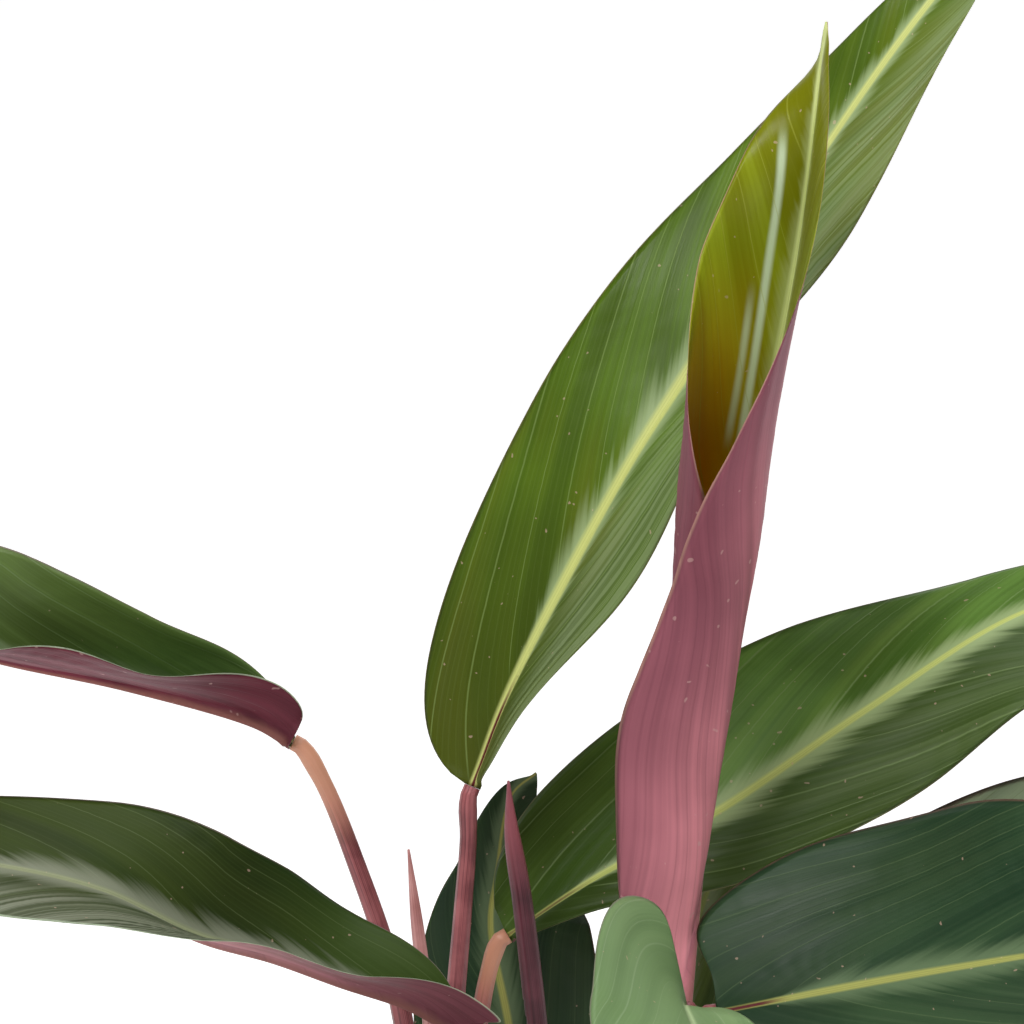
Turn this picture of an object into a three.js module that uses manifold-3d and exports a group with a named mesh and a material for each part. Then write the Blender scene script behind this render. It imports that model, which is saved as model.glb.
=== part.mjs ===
import * as THREE from "three";
import { mergeVertices } from "three/addons/utils/BufferGeometryUtils.js";
import Module from "manifold-3d";

// A stromanthe in a plain round pot: lance-shaped leaves on slender upright stems.
// Millimetres, +Z up. +X is the viewer's right and +Y points away from the viewer.
// The origin is the middle of the pot's flat underside.

// Driving dimensions of the pot and the soil
const POT_HEIGHT = 150;
const POT_RIM_RADIUS = 85;
const POT_FOOT_RADIUS = 61;
const POT_WALL = 2.6;
const POT_FLOOR = 4;
const POT_BAND_HEIGHT = 17;
const POT_BAND_STEP = 2.2;
const POT_BAND_SLOPE = 1.5;
const POT_FOOT_BEVEL = 2;
const POT_RIM_BEVEL = 1;
const POT_SIDES = 48;
const POT_FLOOR_CHAMFER = 3;
const DRAIN_RADIUS = 5;
const DRAIN_RING_RADIUS = 38;
const DRAIN_COUNT = 5;
const DRAIN_SIDES = 8;
const SOIL_LEVEL = 134;
const SOIL_MOUND = 4;
const SOIL_LUMP = 1.4;
const SOIL_SIDES = 40;
const SOIL_RINGS = 6;
const SOIL_GAP = 0.6;
const TOUCH_GAP = 0.4;

// Driving dimensions shared by the leaves and stems
const BLADE_THICKNESS = 0.8;
const BLADE_STATIONS = 16;
const STATION_SPREAD = 1.2;
const BLADE_COLUMNS = [-1, -0.64, -0.3, -0.07, 0.07, 0.3, 0.64, 1];
const MIDRIB_DEPTH = 1.8;
const MIDRIB_SHARE = 0.1;
const MIDRIB_TAPER = 1.2;
const BASE_HALF_WIDTH = 2.4;
const TIP_HALF_WIDTH = 0.4;
const FULL_TURN_WIDTH = 12;
const LEAST_CURL = 1e-3;
const HEEL_STATION = 0.05;
const BASE_FADE = 0.012;
const TIP_FADE = 0.04;
const WAVE_SHIFT = 0.37;
const PLAIN_PROFILE = [0.5, 0.85];
const NO_WAVE = [0, 0, 0, 0];
const STEM_SIDES = 8;
const STEM_STEP = 20;
const STEM_ROOT_RADIUS = 4.1;
const STEM_TOP_RADIUS = 2.3;
const STEM_TAPER = 0.8;
const STEM_LEAST_STEPS = 6;
const STEM_DEPTH = 18;
const STEM_JOINT_GAP = 0.35;
const STEM_JOINT_REACH = 3;

// Each leaf: the midrib's course from base to tip, the direction its upper face looks along the
// way, the half widths of its left and right halves as seen from above with the tip ahead, and
// for each half the fold at the midrib and the curl out to the margin in degrees. The profile is
// the pair of powers of the width from base and from tip, heel the backward sweep of the base
// lobes, and wave the left and right height of the margin's ripple, its count and its start.
// The stem runs from its place in the soil by way of the given points to the leaf's base.
const LEAVES = [
  {
    name: "upright",
    midrib: [[-7.2, 4.7, 319.6], [3.1, 8.5, 345.7], [36.3, 11.7, 408.4], [56.2, 20, 439.6],
      [81.4, 30, 480.2], [111.6, 42, 524.4], [144.1, 58, 564]],
    face: [[-0.24, -0.94, 0.2], [-0.36, -0.92, 0.11], [-0.33, -0.91, 0.13]],
    half: [36.2, 37.2],
    profile: [[0.45, 0.95], [0.64, 0.7]],
    fold: [[-5, -14, -7, 2, -15, -19, 20], [64, 48, 56, 33, 49, 24, 31]],
    curl: [[-1, 10, -1, 5, 4, 2, 12], [-11, 9, -18, 22, 0, 22, 5]],
    heel: [0, 2],
    wave: [-0.8, 6, 2.4, -0.2],
    root: [-14, 6],
    stem: [[-14, 4, 184], [-13, 2, 244], [-10, 3, 283], [-8.4, 4, 304]],
    stations: 20,
  },
  {
    name: "rolled",
    midrib: [[51.5, -33.8, 264.2], [55.8, -30.6, 308.2], [63.2, -28.6, 353.7], [68.2, -25.8, 385.4],
      [75.3, -29.3, 434.1], [82.6, -29.6, 476.2], [87.2, -32.3, 514.8], [89.5, -34, 538.4]],
    face: [[-0.96, -0.18, 0], [-0.87, -0.44, 0], [-0.94, -0.55, 0], [-0.29, -0.4, 0],
      [-0.6, -1.09, 0], [-0.63, -0.39, 0]],
    half: [49.4, 52.1],
    profile: [[0.84, 1.09], [0.57, 1.02]],
    fold: [[0, 0, 8, 22, 22, 38, 36, 50, -30], [10, -9, 0, 8, 15, 44, 54, 51, 34]],
    curl: [[215, 239, 255, 247, 197, 89, 42, -29, -78], [226, 185, 162, 102, 95, 53, 14, -13, -38]],
    flat: [0.6, 0.55, 0.65, 1.16, 0.88, 1.01],
    heel: [3, 3],
    root: [32, -20],
    stem: [[38, -24, 190]],
    stations: 32,
    columns: [-1, -0.84, -0.68, -0.52, -0.36, -0.2, -0.06, 0.06, 0.2, 0.36, 0.52, 0.68, 0.84, 1],
  },
  {
    name: "right",
    midrib: [[2.9, 11.9, 274.9], [26.4, 14.3, 290.3], [62.7, 17.8, 309.8], [104.9, 24, 337.8],
      [146.9, 32, 363.5], [185, 44, 374.8], [214, 60, 385.9]],
    face: [[-0.16, -0.73, 0.62], [-0.23, -0.8, 0.43], [-0.3, -0.93, 0.14]],
    half: [40.2, 30.5],
    profile: [[0.39, 0.95], [0.99, 0.77]],
    fold: [[-11, 1, -13, -39, -39], [33, 8, 9, 9, 0]],
    curl: [[-5, 6, 7, -2, 3], [20, -40, 5, -4, -5]],
    heel: [1, 8],
    wave: [1.8, 5.1, 2.1, 0.4],
    root: [-3, 16],
    stem: [[-6, 8, 198], [-6, 8, 245]],
    stations: 20,
  },
  {
    name: "front_right",
    midrib: [[60.7, -45.1, 265.6], [96.3, -54.9, 275], [126.2, -66, 283], [157.1, -80, 290.9],
      [187.8, -96, 295.8], [213, -114, 296]],
    face: [[0.04, -0.81, 0.33], [0, -0.71, 0.7], [0.1, -0.6, 0.75]],
    half: [51, 40],
    profile: [[0.53, 0.98], [0.5, 0.85]],
    fold: [[-2, -2, 15, 6], [15, 11, 10, 10]],
    curl: [[-1, -3, 9, 0], [5, 1, 0, 0]],
    heel: [10, 8],
    wave: [2.3, 1, 2.4, 0.2],
    root: [42, -33],
    stem: [[45, -38, 200], [52, -41, 248]],
    stations: 20,
  },
  {
    name: "upper_left",
    midrib: [[-58, -0.8, 333.5], [-67.8, -1, 339.4], [-104.4, -0.5, 349.7], [-139.9, -3.9, 357.6],
      [-168.4, -10, 366.6], [-199.6, -20, 363.5], [-224.2, -34, 356.6]],
    face: [[-0.05, -0.47, 0.86], [0, -0.56, 0.83], [0, -0.5, 0.84]],
    half: [34.2, 31],
    profile: [[0.5, 0.93], [0.77, 0.82]],
    fold: [[73, 55, 47, 44, 41, 30], [38, 68, 63, 40, 33, 30]],
    curl: [[27, 4, 4, 6, 7, 5], [2, 26, 24, 9, 2, 5]],
    heel: [2, 0],
    wave: [3.6, 1.1, 2.3, 0.3],
    root: [-19, 22],
    stem: [[-21, 16, 196], [-29, 8, 260], [-41, 2, 300], [-49.4, 0.3, 321.5]],
    stations: 20,
  },
  {
    name: "lower_left",
    midrib: [[-9.2, -42, 258.5], [-23.6, -45, 267.9], [-43.2, -49, 275.5], [-61.4, -53, 282.9],
      [-81.5, -57, 289.4], [-107.6, -62, 303.3], [-135, -66, 311], [-163.9, -74, 315.6],
      [-193.9, -86, 313.1]],
    face: [[0, -0.51, 0.84], [0, -0.45, 0.84], [0, -0.4, 0.9]],
    half: [29.4, 29.5],
    profile: [[0.41, 0.89], [0.78, 0.94]],
    fold: [[71, 48, 41, 14, -8, 0], [61, 22, 32, 18, 19, 20]],
    curl: [[18, -1, 2, -8, -18, -10], [19, -6, 5, 1, 6, 10]],
    heel: [11, 0],
    wave: [0.2, 1.7, 1.8, 0.2],
    root: [-4, -30],
    stem: [[0, -34, 200], [2, -39, 245]],
    stations: 20,
  },
  {
    name: "back_centre",
    midrib: [[5, 40, 214.9], [3.3, 42, 239.9], [-2.3, 46, 270.5], [-0.6, 50, 284.7], [3.8, 56, 307.2],
      [11.1, 60, 313.1]],
    face: [[-0.1, -0.95, 0.1], [0, -0.95, 0.2], [0.1, -0.9, 0.3]],
    half: [28.3, 30.7],
    profile: [[0.44, 1.24], [0.55, 0.81]],
    fold: [[20, 18, 27, 17], [15, 17, 11, 10]],
    curl: [[10, 4, 11, -1], [5, 3, -2, 0]],
    heel: [4, 4],
    wave: [1.6, 1, 1.9, 0.1],
    root: [8, 36],
    stem: [[7, 38, 165]],
  },
  {
    name: "back_right",
    midrib: [[54, 55, 225], [55, 58, 249], [58, 64, 265], [64, 72, 281], [71, 84, 300]],
    face: [[0.1, -0.95, 0.1], [0.1, -0.95, 0.2], [0.1, -0.9, 0.3]],
    half: [26, 22],
    fold: [[10, 10, 10], [45, 45, 30]],
    curl: [[10, 5, 0], [5, 0, 0]],
    heel: [3, 3],
    wave: [1, 1, 2, 0.1],
    root: [46, 40],
    stem: [[51, 47, 180]],
  },
  {
    name: "right_low",
    midrib: [[81, 4, 256], [107, 14, 267], [136, 24, 280], [165, 34, 293], [195, 46, 302],
      [226, 60, 304]],
    face: [[-0.1, -0.7, 0.6], [0, -0.7, 0.6], [0.1, -0.6, 0.7]],
    half: [31, 25],
    fold: [[10, 10, 10], [10, 10, 10]],
    curl: [[5, 5, 0], [5, 0, 0]],
    heel: [7, 7],
    wave: [1, 1, 2, 0.1],
    root: [48, 6],
    stem: [[56, 2, 190], [68, 0, 240]],
  },
  {
    name: "front",
    midrib: [[51.7, -75.3, 273.3], [50.5, -89.4, 277.5], [54.6, -114.9, 269.3], [52.7, -140.2, 253.9],
      [57.1, -162, 231.8], [60, -178, 208.3]],
    face: [[0.65, -0.18, 0.73], [0, -0.2, 1], [0, -0.4, 0.9]],
    half: [26, 37.1],
    profile: [[0.46, 0.79], [0.23, 0.64]],
    fold: [[53, -5, 6, 10, 10, 10], [32, 20, 30, 60, 30, 20]],
    curl: [[0], [0]],
    heel: [0, 0],
    root: [32, -52],
    stem: [[40, -60, 190], [49, -68, 245]],
    stations: 20,
  },
  {
    name: "low_front_left",
    midrib: [[-28, -58, 215], [-58, -84, 236], [-92, -112, 244], [-126, -142, 238], [-158, -170, 216],
      [-184, -194, 182]],
    face: [[0.1, -0.3, 0.95], [0, -0.3, 0.95], [-0.3, -0.5, 0.8]],
    half: [30, 31],
    fold: [[25, 15, 10], [25, 15, 10]],
    curl: [[5, 0, -5], [5, 0, -5]],
    heel: [8, 8],
    wave: [1, 1.5, 2, 0.2],
    root: [-22, -42],
    stem: [[-25, -47, 170]],
  },
  {
    name: "low_front_right",
    midrib: [[58, -62, 196], [88, -90, 208], [118, -120, 210], [150, -150, 200], [178, -180, 178],
      [200, -206, 146]],
    face: [[-0.1, -0.3, 0.95], [0.1, -0.35, 0.93], [0.4, -0.5, 0.75]],
    half: [31, 31],
    fold: [[25, 12, 8], [25, 12, 8]],
    curl: [[5, 0, -5], [5, 0, -5]],
    heel: [8, 8],
    wave: [1.5, 1, 2, 0.4],
    root: [56, -36],
    stem: [[57, -46, 160]],
  },
  {
    name: "low_left",
    midrib: [[-40, 10, 190], [-80, 18, 212], [-120, 26, 222], [-162, 36, 218], [-200, 46, 200],
      [-232, 54, 172]],
    face: [[-0.1, -0.3, 0.95], [-0.1, -0.2, 0.95], [-0.4, -0.2, 0.85]],
    half: [32, 32],
    fold: [[22, 12, 8], [22, 12, 8]],
    curl: [[5, 0, -5], [5, 0, -5]],
    heel: [8, 8],
    wave: [1.5, 1.5, 2, 0.7],
    root: [-34, 4],
    stem: [[-33, 7, 165]],
  },
  {
    name: "low_back_right",
    midrib: [[30, 66, 188], [64, 92, 212], [100, 116, 220], [136, 140, 214], [168, 162, 194],
      [192, 180, 164]],
    face: [[0, 0.2, 0.95], [0.1, 0.2, 0.95], [0.4, 0.3, 0.85]],
    half: [30, 30],
    fold: [[22, 12, 8], [22, 12, 8]],
    curl: [[5, 0, -5], [5, 0, -5]],
    heel: [8, 8],
    wave: [1, 1.5, 2, 0.1],
    root: [24, 56],
    stem: [[24, 59, 160]],
  },
  {
    name: "low_back",
    midrib: [[-10, 62, 192], [-24, 98, 208], [-40, 136, 212], [-58, 172, 202], [-74, 204, 180],
      [-88, 230, 148]],
    face: [[0, -0.2, 0.95], [0, 0.1, 0.95], [-0.2, 0.4, 0.85]],
    half: [31, 31],
    fold: [[22, 12, 8], [22, 12, 8]],
    curl: [[5, 0, -5], [5, 0, -5]],
    heel: [8, 8],
    wave: [1.5, 1, 2, 0.5],
    root: [-8, 52],
    stem: [[-8, 55, 160]],
  },
  {
    name: "low_front",
    midrib: [[6, -66, 180], [4, -100, 196], [0, -136, 196], [-6, -170, 180], [-12, -200, 150],
      [-16, -222, 112]],
    face: [[0, -0.3, 0.95], [0, -0.4, 0.9], [0, -0.7, 0.7]],
    half: [29, 29],
    fold: [[25, 15, 10], [25, 15, 10]],
    curl: [[5, 0, -5], [5, 0, -5]],
    heel: [8, 8],
    wave: [1, 1.5, 2, 0.3],
    root: [8, -50],
    stem: [[8, -54, 155]],
  },
];

// Young leaves that are still rolled up tight on their own stems: the course from the soil to
// the tip, and the radius at even steps along it.
const SPEARS = [
  {
    name: "spear_tall",
    course: [[18, -8, 116], [15, -9, 203], [11, -12, 255], [7, -14, 291], [4, -15, 311], [3, -15, 325]],
    radii: [3.2, 3, 2.8, 2.8, 3, 3.2, 3.3, 3.3, 3.2, 3.1, 2.7, 0.4],
  },
  {
    name: "spear_short",
    course: [[-14, -18, 116], [-16, -18, 205], [-19, -18, 256], [-22, -18, 280], [-25, -18, 306]],
    radii: [2.6, 2.5, 2.4, 2.3, 2.3, 2.3, 2.2, 2.1, 1.9, 0.4],
  },
];

const wasm = await Module();
wasm.setup();

const leafGreen = new THREE.MeshStandardMaterial({ color: 0x2f5a2a, roughness: 0.42, metalness: 0 });
const paleGreen = new THREE.MeshStandardMaterial({ color: 0x6f9a62, roughness: 0.5, metalness: 0 });
const rolledMauve = new THREE.MeshStandardMaterial({ color: 0xa8627a, roughness: 0.5, metalness: 0 });
const stemPink = new THREE.MeshStandardMaterial({ color: 0xb5606a, roughness: 0.5, metalness: 0 });
const spearWine = new THREE.MeshStandardMaterial({ color: 0x5a3a3a, roughness: 0.5, metalness: 0 });
const soilBrown = new THREE.MeshStandardMaterial({ color: 0x3a2a20, roughness: 0.95, metalness: 0 });
const potCharcoal = new THREE.MeshStandardMaterial({ color: 0x3c3e40, roughness: 0.6, metalness: 0 });
const BLADE_MATERIALS = { rolled: rolledMauve, front: paleGreen };

const vector = (point) => new THREE.Vector3(...point);
const curveThrough = (points) => new THREE.CatmullRomCurve3(points.map(vector));

// Builds a closed mesh geometry from a list of Vector3 and a list of corner triples.
function geometryOf(points, faces) {
  const coordinates = points.flatMap((point) => point.toArray());
  const geometry = new THREE.BufferGeometry();
  geometry.setAttribute("position", new THREE.Float32BufferAttribute(coordinates, 3));
  geometry.setIndex(faces.flat());
  geometry.computeVertexNormals();
  return geometry;
}

// The two triangles of a four-cornered face, parted from its first corner to its third.
const quad = (a, b, c, d) => [[a, b, c], [a, c, d]];

// A solid for joins and cuts, from any closed geometry.
function solidOf(geometry) {
  const bare = new THREE.BufferGeometry();
  bare.setAttribute("position", geometry.getAttribute("position"));
  bare.setIndex(geometry.getIndex());
  const merged = mergeVertices(bare, 1e-3);
  return new wasm.Manifold(
    new wasm.Mesh({
      numProp: 3,
      vertProperties: new Float32Array(merged.attributes.position.array),
      triVerts: new Uint32Array(merged.index.array),
    }),
  );
}

// The geometry of a joined or cut solid.
function geometryOfSolid(solid) {
  const mesh = solid.getMesh();
  const coordinates = new Float32Array(mesh.vertProperties);
  const geometry = new THREE.BufferGeometry();
  geometry.setAttribute("position", new THREE.BufferAttribute(coordinates, 3));
  geometry.setIndex(new THREE.BufferAttribute(new Uint32Array(mesh.triVerts), 1));
  geometry.computeVertexNormals();
  return geometry;
}

// The value at u of a smooth course through evenly spaced stations.
function between(stations, u) {
  if (stations.length === 1) {
    return stations[0];
  }
  const place = Math.min(Math.max(u, 0), 1) * (stations.length - 1);
  const i = Math.min(Math.floor(place), stations.length - 2);
  const w = place - i;
  const p1 = stations[i];
  const p2 = stations[i + 1];
  const p0 = i > 0 ? stations[i - 1] : 2 * p1 - p2;
  const p3 = i + 2 < stations.length ? stations[i + 2] : 2 * p2 - p1;
  const t0 = 0.5 * (p2 - p0);
  const t1 = 0.5 * (p3 - p1);
  return p1 + t0 * w + (3 * (p2 - p1) - 2 * t0 - t1) * w ** 2 + (2 * (p1 - p2) + t0 + t1) * w ** 3;
}

// The width of a blade along its length, 1 at the widest place.
function widthProfile(u, [rise, fall]) {
  const widest = rise / (rise + fall);
  return (u ** rise * (1 - u) ** fall) / (widest ** rise * (1 - widest) ** fall);
}

// 1 along the blade, easing to 0 at the very base and the tip.
function endEase(u) {
  const fromBase = THREE.MathUtils.smoothstep(u, 0, BASE_FADE);
  const fromTip = THREE.MathUtils.smoothstep(1 - u, 0, TIP_FADE);
  return fromBase * fromTip;
}

// How far a margin stands above or below its plain place, t of the way out to it.
function rippleAt(wave, u, side, t) {
  const [left, right, count, start] = wave;
  const height = side ? right : left;
  const phase = 2 * Math.PI * (count * u + start + WAVE_SHIFT * side);
  return height * Math.sin(phase) * t ** 2 * Math.sin(Math.PI * u);
}

// One point of a blade's middle surface at u along the midrib and v across, from -1 at the left
// margin to 1 at the right, with the direction in which its upper face looks there.
function bladePoint(leaf, midrib, u, v) {
  const side = v > 0 ? 1 : 0;
  const sign = side ? 1 : -1;
  const t = Math.abs(v);
  const along = midrib.getTangentAt(u);
  const face = new THREE.Vector3(...[0, 1, 2].map((k) => between(leaf.face.map((n) => n[k]), u)));
  face.addScaledVector(along, -face.dot(along)).normalize();
  const across = new THREE.Vector3().crossVectors(along, face);

  const fold = THREE.MathUtils.degToRad(between(leaf.fold[side], u)) * endEase(u);
  const curl = THREE.MathUtils.degToRad(between(leaf.curl[side], u)) * endEase(u) || LEAST_CURL;
  const power = leaf.profile?.[side] ?? PLAIN_PROFILE;
  const least = Math.min(BASE_HALF_WIDTH, BASE_HALF_WIDTH * (1 - u) + TIP_HALF_WIDTH);
  const width = Math.max(leaf.half[side] * widthProfile(u, power), least);
  const turn = fold + curl * t;
  const out = (width * (Math.sin(turn) - Math.sin(fold))) / curl;
  const up = (width * (Math.cos(fold) - Math.cos(turn))) / curl;

  const offset = across.clone().multiplyScalar(sign * out).addScaledVector(face, up);
  offset.y *= between(leaf.flat ?? [1], u);
  const back = ((u / HEEL_STATION) * Math.exp(1 - u / HEEL_STATION)) ** 2 * t ** 2;
  offset.addScaledVector(along, -leaf.heel[side] * back);

  const normal = across.clone().multiplyScalar(-sign * Math.sin(turn));
  normal.addScaledVector(face, Math.cos(turn));
  offset.addScaledVector(normal, rippleAt(leaf.wave ?? NO_WAVE, u, side, t));
  const looks = face.clone().lerp(normal, Math.min(1, width / FULL_TURN_WIDTH)).normalize();
  return { point: midrib.getPointAt(u).add(offset), looks };
}

// A thin waved blade with the midrib as a keel under it: an upper and an under skin that are
// split into triangles alike, closed by a strip round the edge.
function bladeGeometry(leaf) {
  const midrib = curveThrough(leaf.midrib);
  const rows = leaf.stations ?? BLADE_STATIONS;
  const columns = leaf.columns ?? BLADE_COLUMNS;
  const points = [];
  for (let i = 0; i <= rows; i++) {
    const u = (i / rows) ** STATION_SPREAD;
    for (const v of columns) {
      const { point, looks } = bladePoint(leaf, midrib, u, v);
      const keel = Math.abs(v) < MIDRIB_SHARE ? MIDRIB_DEPTH * (1 - u) ** MIDRIB_TAPER : 0;
      points.push(point.clone().addScaledVector(looks, BLADE_THICKNESS / 2));
      points.push(point.clone().addScaledVector(looks, -BLADE_THICKNESS / 2 - keel));
    }
  }
  const upper = (i, j) => 2 * (i * columns.length + j);
  const under = (i, j) => upper(i, j) + 1;
  const last = columns.length - 1;
  const faces = [];
  for (let i = 0; i < rows; i++) {
    for (let j = 0; j < last; j++) {
      faces.push(...quad(upper(i, j), upper(i, j + 1), upper(i + 1, j + 1), upper(i + 1, j)));
      faces.push(...quad(under(i + 1, j + 1), under(i, j + 1), under(i, j), under(i + 1, j)));
    }
    faces.push(...quad(upper(i, 0), upper(i + 1, 0), under(i + 1, 0), under(i, 0)));
    faces.push(...quad(upper(i, last), under(i, last), under(i + 1, last), upper(i + 1, last)));
  }
  for (let j = 0; j < last; j++) {
    faces.push(...quad(under(0, j), under(0, j + 1), upper(0, j + 1), upper(0, j)));
    faces.push(...quad(under(rows, j), upper(rows, j), upper(rows, j + 1), under(rows, j + 1)));
  }
  return geometryOf(points, faces);
}

// A round rod along a curve, with flat ends. The radius is a function of the place along it.
function rodGeometry(curve, steps, radiusAt) {
  const frames = curve.computeFrenetFrames(steps, false);
  const points = [];
  for (let i = 0; i <= steps; i++) {
    const centre = curve.getPointAt(i / steps);
    const radius = radiusAt(i / steps);
    for (let k = 0; k < STEM_SIDES; k++) {
      const angle = (2 * Math.PI * k) / STEM_SIDES;
      const point = centre.clone();
      point.addScaledVector(frames.normals[i], radius * Math.cos(angle));
      point.addScaledVector(frames.binormals[i], radius * Math.sin(angle));
      points.push(point);
    }
  }
  const faces = [];
  for (let i = 0; i < steps; i++) {
    for (let k = 0; k < STEM_SIDES; k++) {
      const a = i * STEM_SIDES + k;
      const b = i * STEM_SIDES + ((k + 1) % STEM_SIDES);
      faces.push(...quad(a, b, b + STEM_SIDES, a + STEM_SIDES));
    }
  }
  const top = steps * STEM_SIDES;
  for (let k = 1; k < STEM_SIDES - 1; k++) {
    faces.push([0, k + 1, k], [top, top + k, top + k + 1]);
  }
  return geometryOf(points, faces);
}

// The stem's course from the soil to the leaf's base, met in line with the midrib.
function stemCurve(leaf) {
  const midrib = curveThrough(leaf.midrib);
  const base = midrib.getPointAt(0);
  const along = midrib.getTangentAt(0);
  const foot = new THREE.Vector3(leaf.root[0], leaf.root[1], SOIL_LEVEL - STEM_DEPTH);
  const joint = base.clone().addScaledVector(along, -STEM_JOINT_REACH);
  const end = base.clone().addScaledVector(along, -STEM_JOINT_GAP);
  return new THREE.CatmullRomCurve3([foot, ...leaf.stem.map(vector), joint, end]);
}

const stemRadius = (u) => STEM_ROOT_RADIUS + (STEM_TOP_RADIUS - STEM_ROOT_RADIUS) * u ** STEM_TAPER;
const stemSteps = (curve) => Math.max(STEM_LEAST_STEPS, Math.round(curve.getLength() / STEM_STEP));
const spearRadius = (spear) => (u) => between(spear.radii, u);

// A low, slightly lumpy height of the soil at a place round the middle.
function soilHeight(x, y, share) {
  const broad = Math.sin(0.13 * x + 1.1) * Math.cos(0.11 * y - 0.4);
  const small = 0.5 * Math.sin(0.31 * x - 0.23 * y);
  const mound = 0.5 * SOIL_MOUND * (1 - share ** 2);
  return SOIL_LEVEL + mound + SOIL_LUMP * (broad + small) * (1 - share ** 4);
}

// The inside radius of the pot's tapered wall at a height.
function innerRadiusAt(z) {
  const outer = POT_FOOT_RADIUS + ((POT_RIM_RADIUS - POT_FOOT_RADIUS) * z) / POT_HEIGHT;
  return outer - POT_WALL;
}

// The potting mix, clear of the wall and the floor, with a lumpy top.
function soilGeometry() {
  const points = [];
  const faces = [];
  const rim = innerRadiusAt(SOIL_LEVEL) - SOIL_GAP;
  const foot = innerRadiusAt(POT_FLOOR) - POT_FLOOR_CHAMFER - SOIL_GAP;
  points.push(new THREE.Vector3(0, 0, soilHeight(0, 0, 0)));
  for (let ring = 1; ring <= SOIL_RINGS + 1; ring++) {
    const isFoot = ring > SOIL_RINGS;
    const share = Math.min(1, ring / SOIL_RINGS);
    for (let k = 0; k < SOIL_SIDES; k++) {
      const angle = (2 * Math.PI * k) / SOIL_SIDES;
      const radius = isFoot ? foot : rim * share;
      const x = radius * Math.cos(angle);
      const y = radius * Math.sin(angle);
      points.push(new THREE.Vector3(x, y, isFoot ? POT_FLOOR + TOUCH_GAP : soilHeight(x, y, share)));
    }
  }
  points.push(new THREE.Vector3(0, 0, POT_FLOOR + TOUCH_GAP));
  const at = (ring, k) => 1 + (ring - 1) * SOIL_SIDES + (k % SOIL_SIDES);
  const bottom = points.length - 1;
  for (let k = 0; k < SOIL_SIDES; k++) {
    faces.push([0, at(1, k), at(1, k + 1)]);
    for (let ring = 1; ring <= SOIL_RINGS; ring++) {
      faces.push(...quad(at(ring, k), at(ring + 1, k), at(ring + 1, k + 1), at(ring, k + 1)));
    }
    faces.push([bottom, at(SOIL_RINGS + 1, k + 1), at(SOIL_RINGS + 1, k)]);
  }
  return geometryOf(points, faces);
}

// The same rod, fatter by the gap and a little deeper, to cut the hole that it stands in.
function holeSolid(curve, steps, radiusAt) {
  const rod = rodGeometry(curve, steps, (u) => radiusAt(u) + TOUCH_GAP);
  const position = rod.getAttribute("position");
  for (let k = 0; k < STEM_SIDES; k++) {
    position.setZ(k, position.getZ(k) - TOUCH_GAP);
  }
  return solidOf(rod);
}

// The pot: a turned section with a band round the rim and drain holes cut through the floor.
function potGeometry() {
  const outer = (z) => innerRadiusAt(z) + POT_WALL;
  const bandFoot = POT_HEIGHT - POT_BAND_HEIGHT;
  const rimRadius = outer(POT_HEIGHT) + POT_BAND_STEP;
  const floorEdge = POT_FLOOR + POT_FLOOR_CHAMFER;
  const section = [
    [0, 0],
    [outer(0) - POT_FOOT_BEVEL, 0],
    [outer(POT_FOOT_BEVEL), POT_FOOT_BEVEL],
    [outer(bandFoot), bandFoot],
    [outer(bandFoot) + POT_BAND_STEP, bandFoot + POT_BAND_SLOPE],
    [rimRadius, POT_HEIGHT - POT_RIM_BEVEL],
    [rimRadius - POT_RIM_BEVEL, POT_HEIGHT],
    [innerRadiusAt(POT_HEIGHT), POT_HEIGHT],
    [innerRadiusAt(floorEdge), floorEdge],
    [innerRadiusAt(POT_FLOOR) - POT_FLOOR_CHAMFER, POT_FLOOR],
    [0, POT_FLOOR],
  ];
  const corners = section.map(([radius, height]) => new THREE.Vector2(radius, height));
  const lathe = new THREE.LatheGeometry(corners, POT_SIDES);
  lathe.rotateX(Math.PI / 2);
  let pot = solidOf(lathe);
  for (let k = 0; k < DRAIN_COUNT; k++) {
    const angle = (2 * Math.PI * k) / DRAIN_COUNT;
    const x = DRAIN_RING_RADIUS * Math.cos(angle);
    const y = DRAIN_RING_RADIUS * Math.sin(angle);
    const drain = new THREE.CylinderGeometry(DRAIN_RADIUS, DRAIN_RADIUS, 3 * POT_FLOOR, DRAIN_SIDES);
    drain.rotateX(Math.PI / 2);
    drain.translate(x, y, POT_FLOOR / 2);
    pot = pot.subtract(solidOf(drain));
  }
  return geometryOfSolid(pot);
}

const plant = new THREE.Group();
plant.name = "potted_stromanthe";

// Adds a named part of the plant.
function addMesh(name, geometry, material) {
  const mesh = new THREE.Mesh(geometry, material.clone());
  mesh.name = name;
  plant.add(mesh);
}

const holes = [];
for (const leaf of LEAVES) {
  const curve = stemCurve(leaf);
  const steps = stemSteps(curve);
  addMesh(`blade_${leaf.name}`, bladeGeometry(leaf), BLADE_MATERIALS[leaf.name] ?? leafGreen);
  addMesh(`stem_${leaf.name}`, rodGeometry(curve, steps, stemRadius), stemPink);
  holes.push(holeSolid(curve, steps, stemRadius));
}
for (const spear of SPEARS) {
  const curve = curveThrough(spear.course);
  const steps = stemSteps(curve);
  addMesh(spear.name, rodGeometry(curve, steps, spearRadius(spear)), spearWine);
  holes.push(holeSolid(curve, steps, spearRadius(spear)));
}
const soil = holes.reduce((rest, hole) => rest.subtract(hole), solidOf(soilGeometry()));
addMesh("soil", geometryOfSolid(soil), soilBrown);
addMesh("pot", potGeometry(), potCharcoal);

export default plant;
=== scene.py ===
import logging
import math
from dataclasses import dataclass, field, replace
from enum import Enum
from typing import Callable, Sequence

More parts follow.
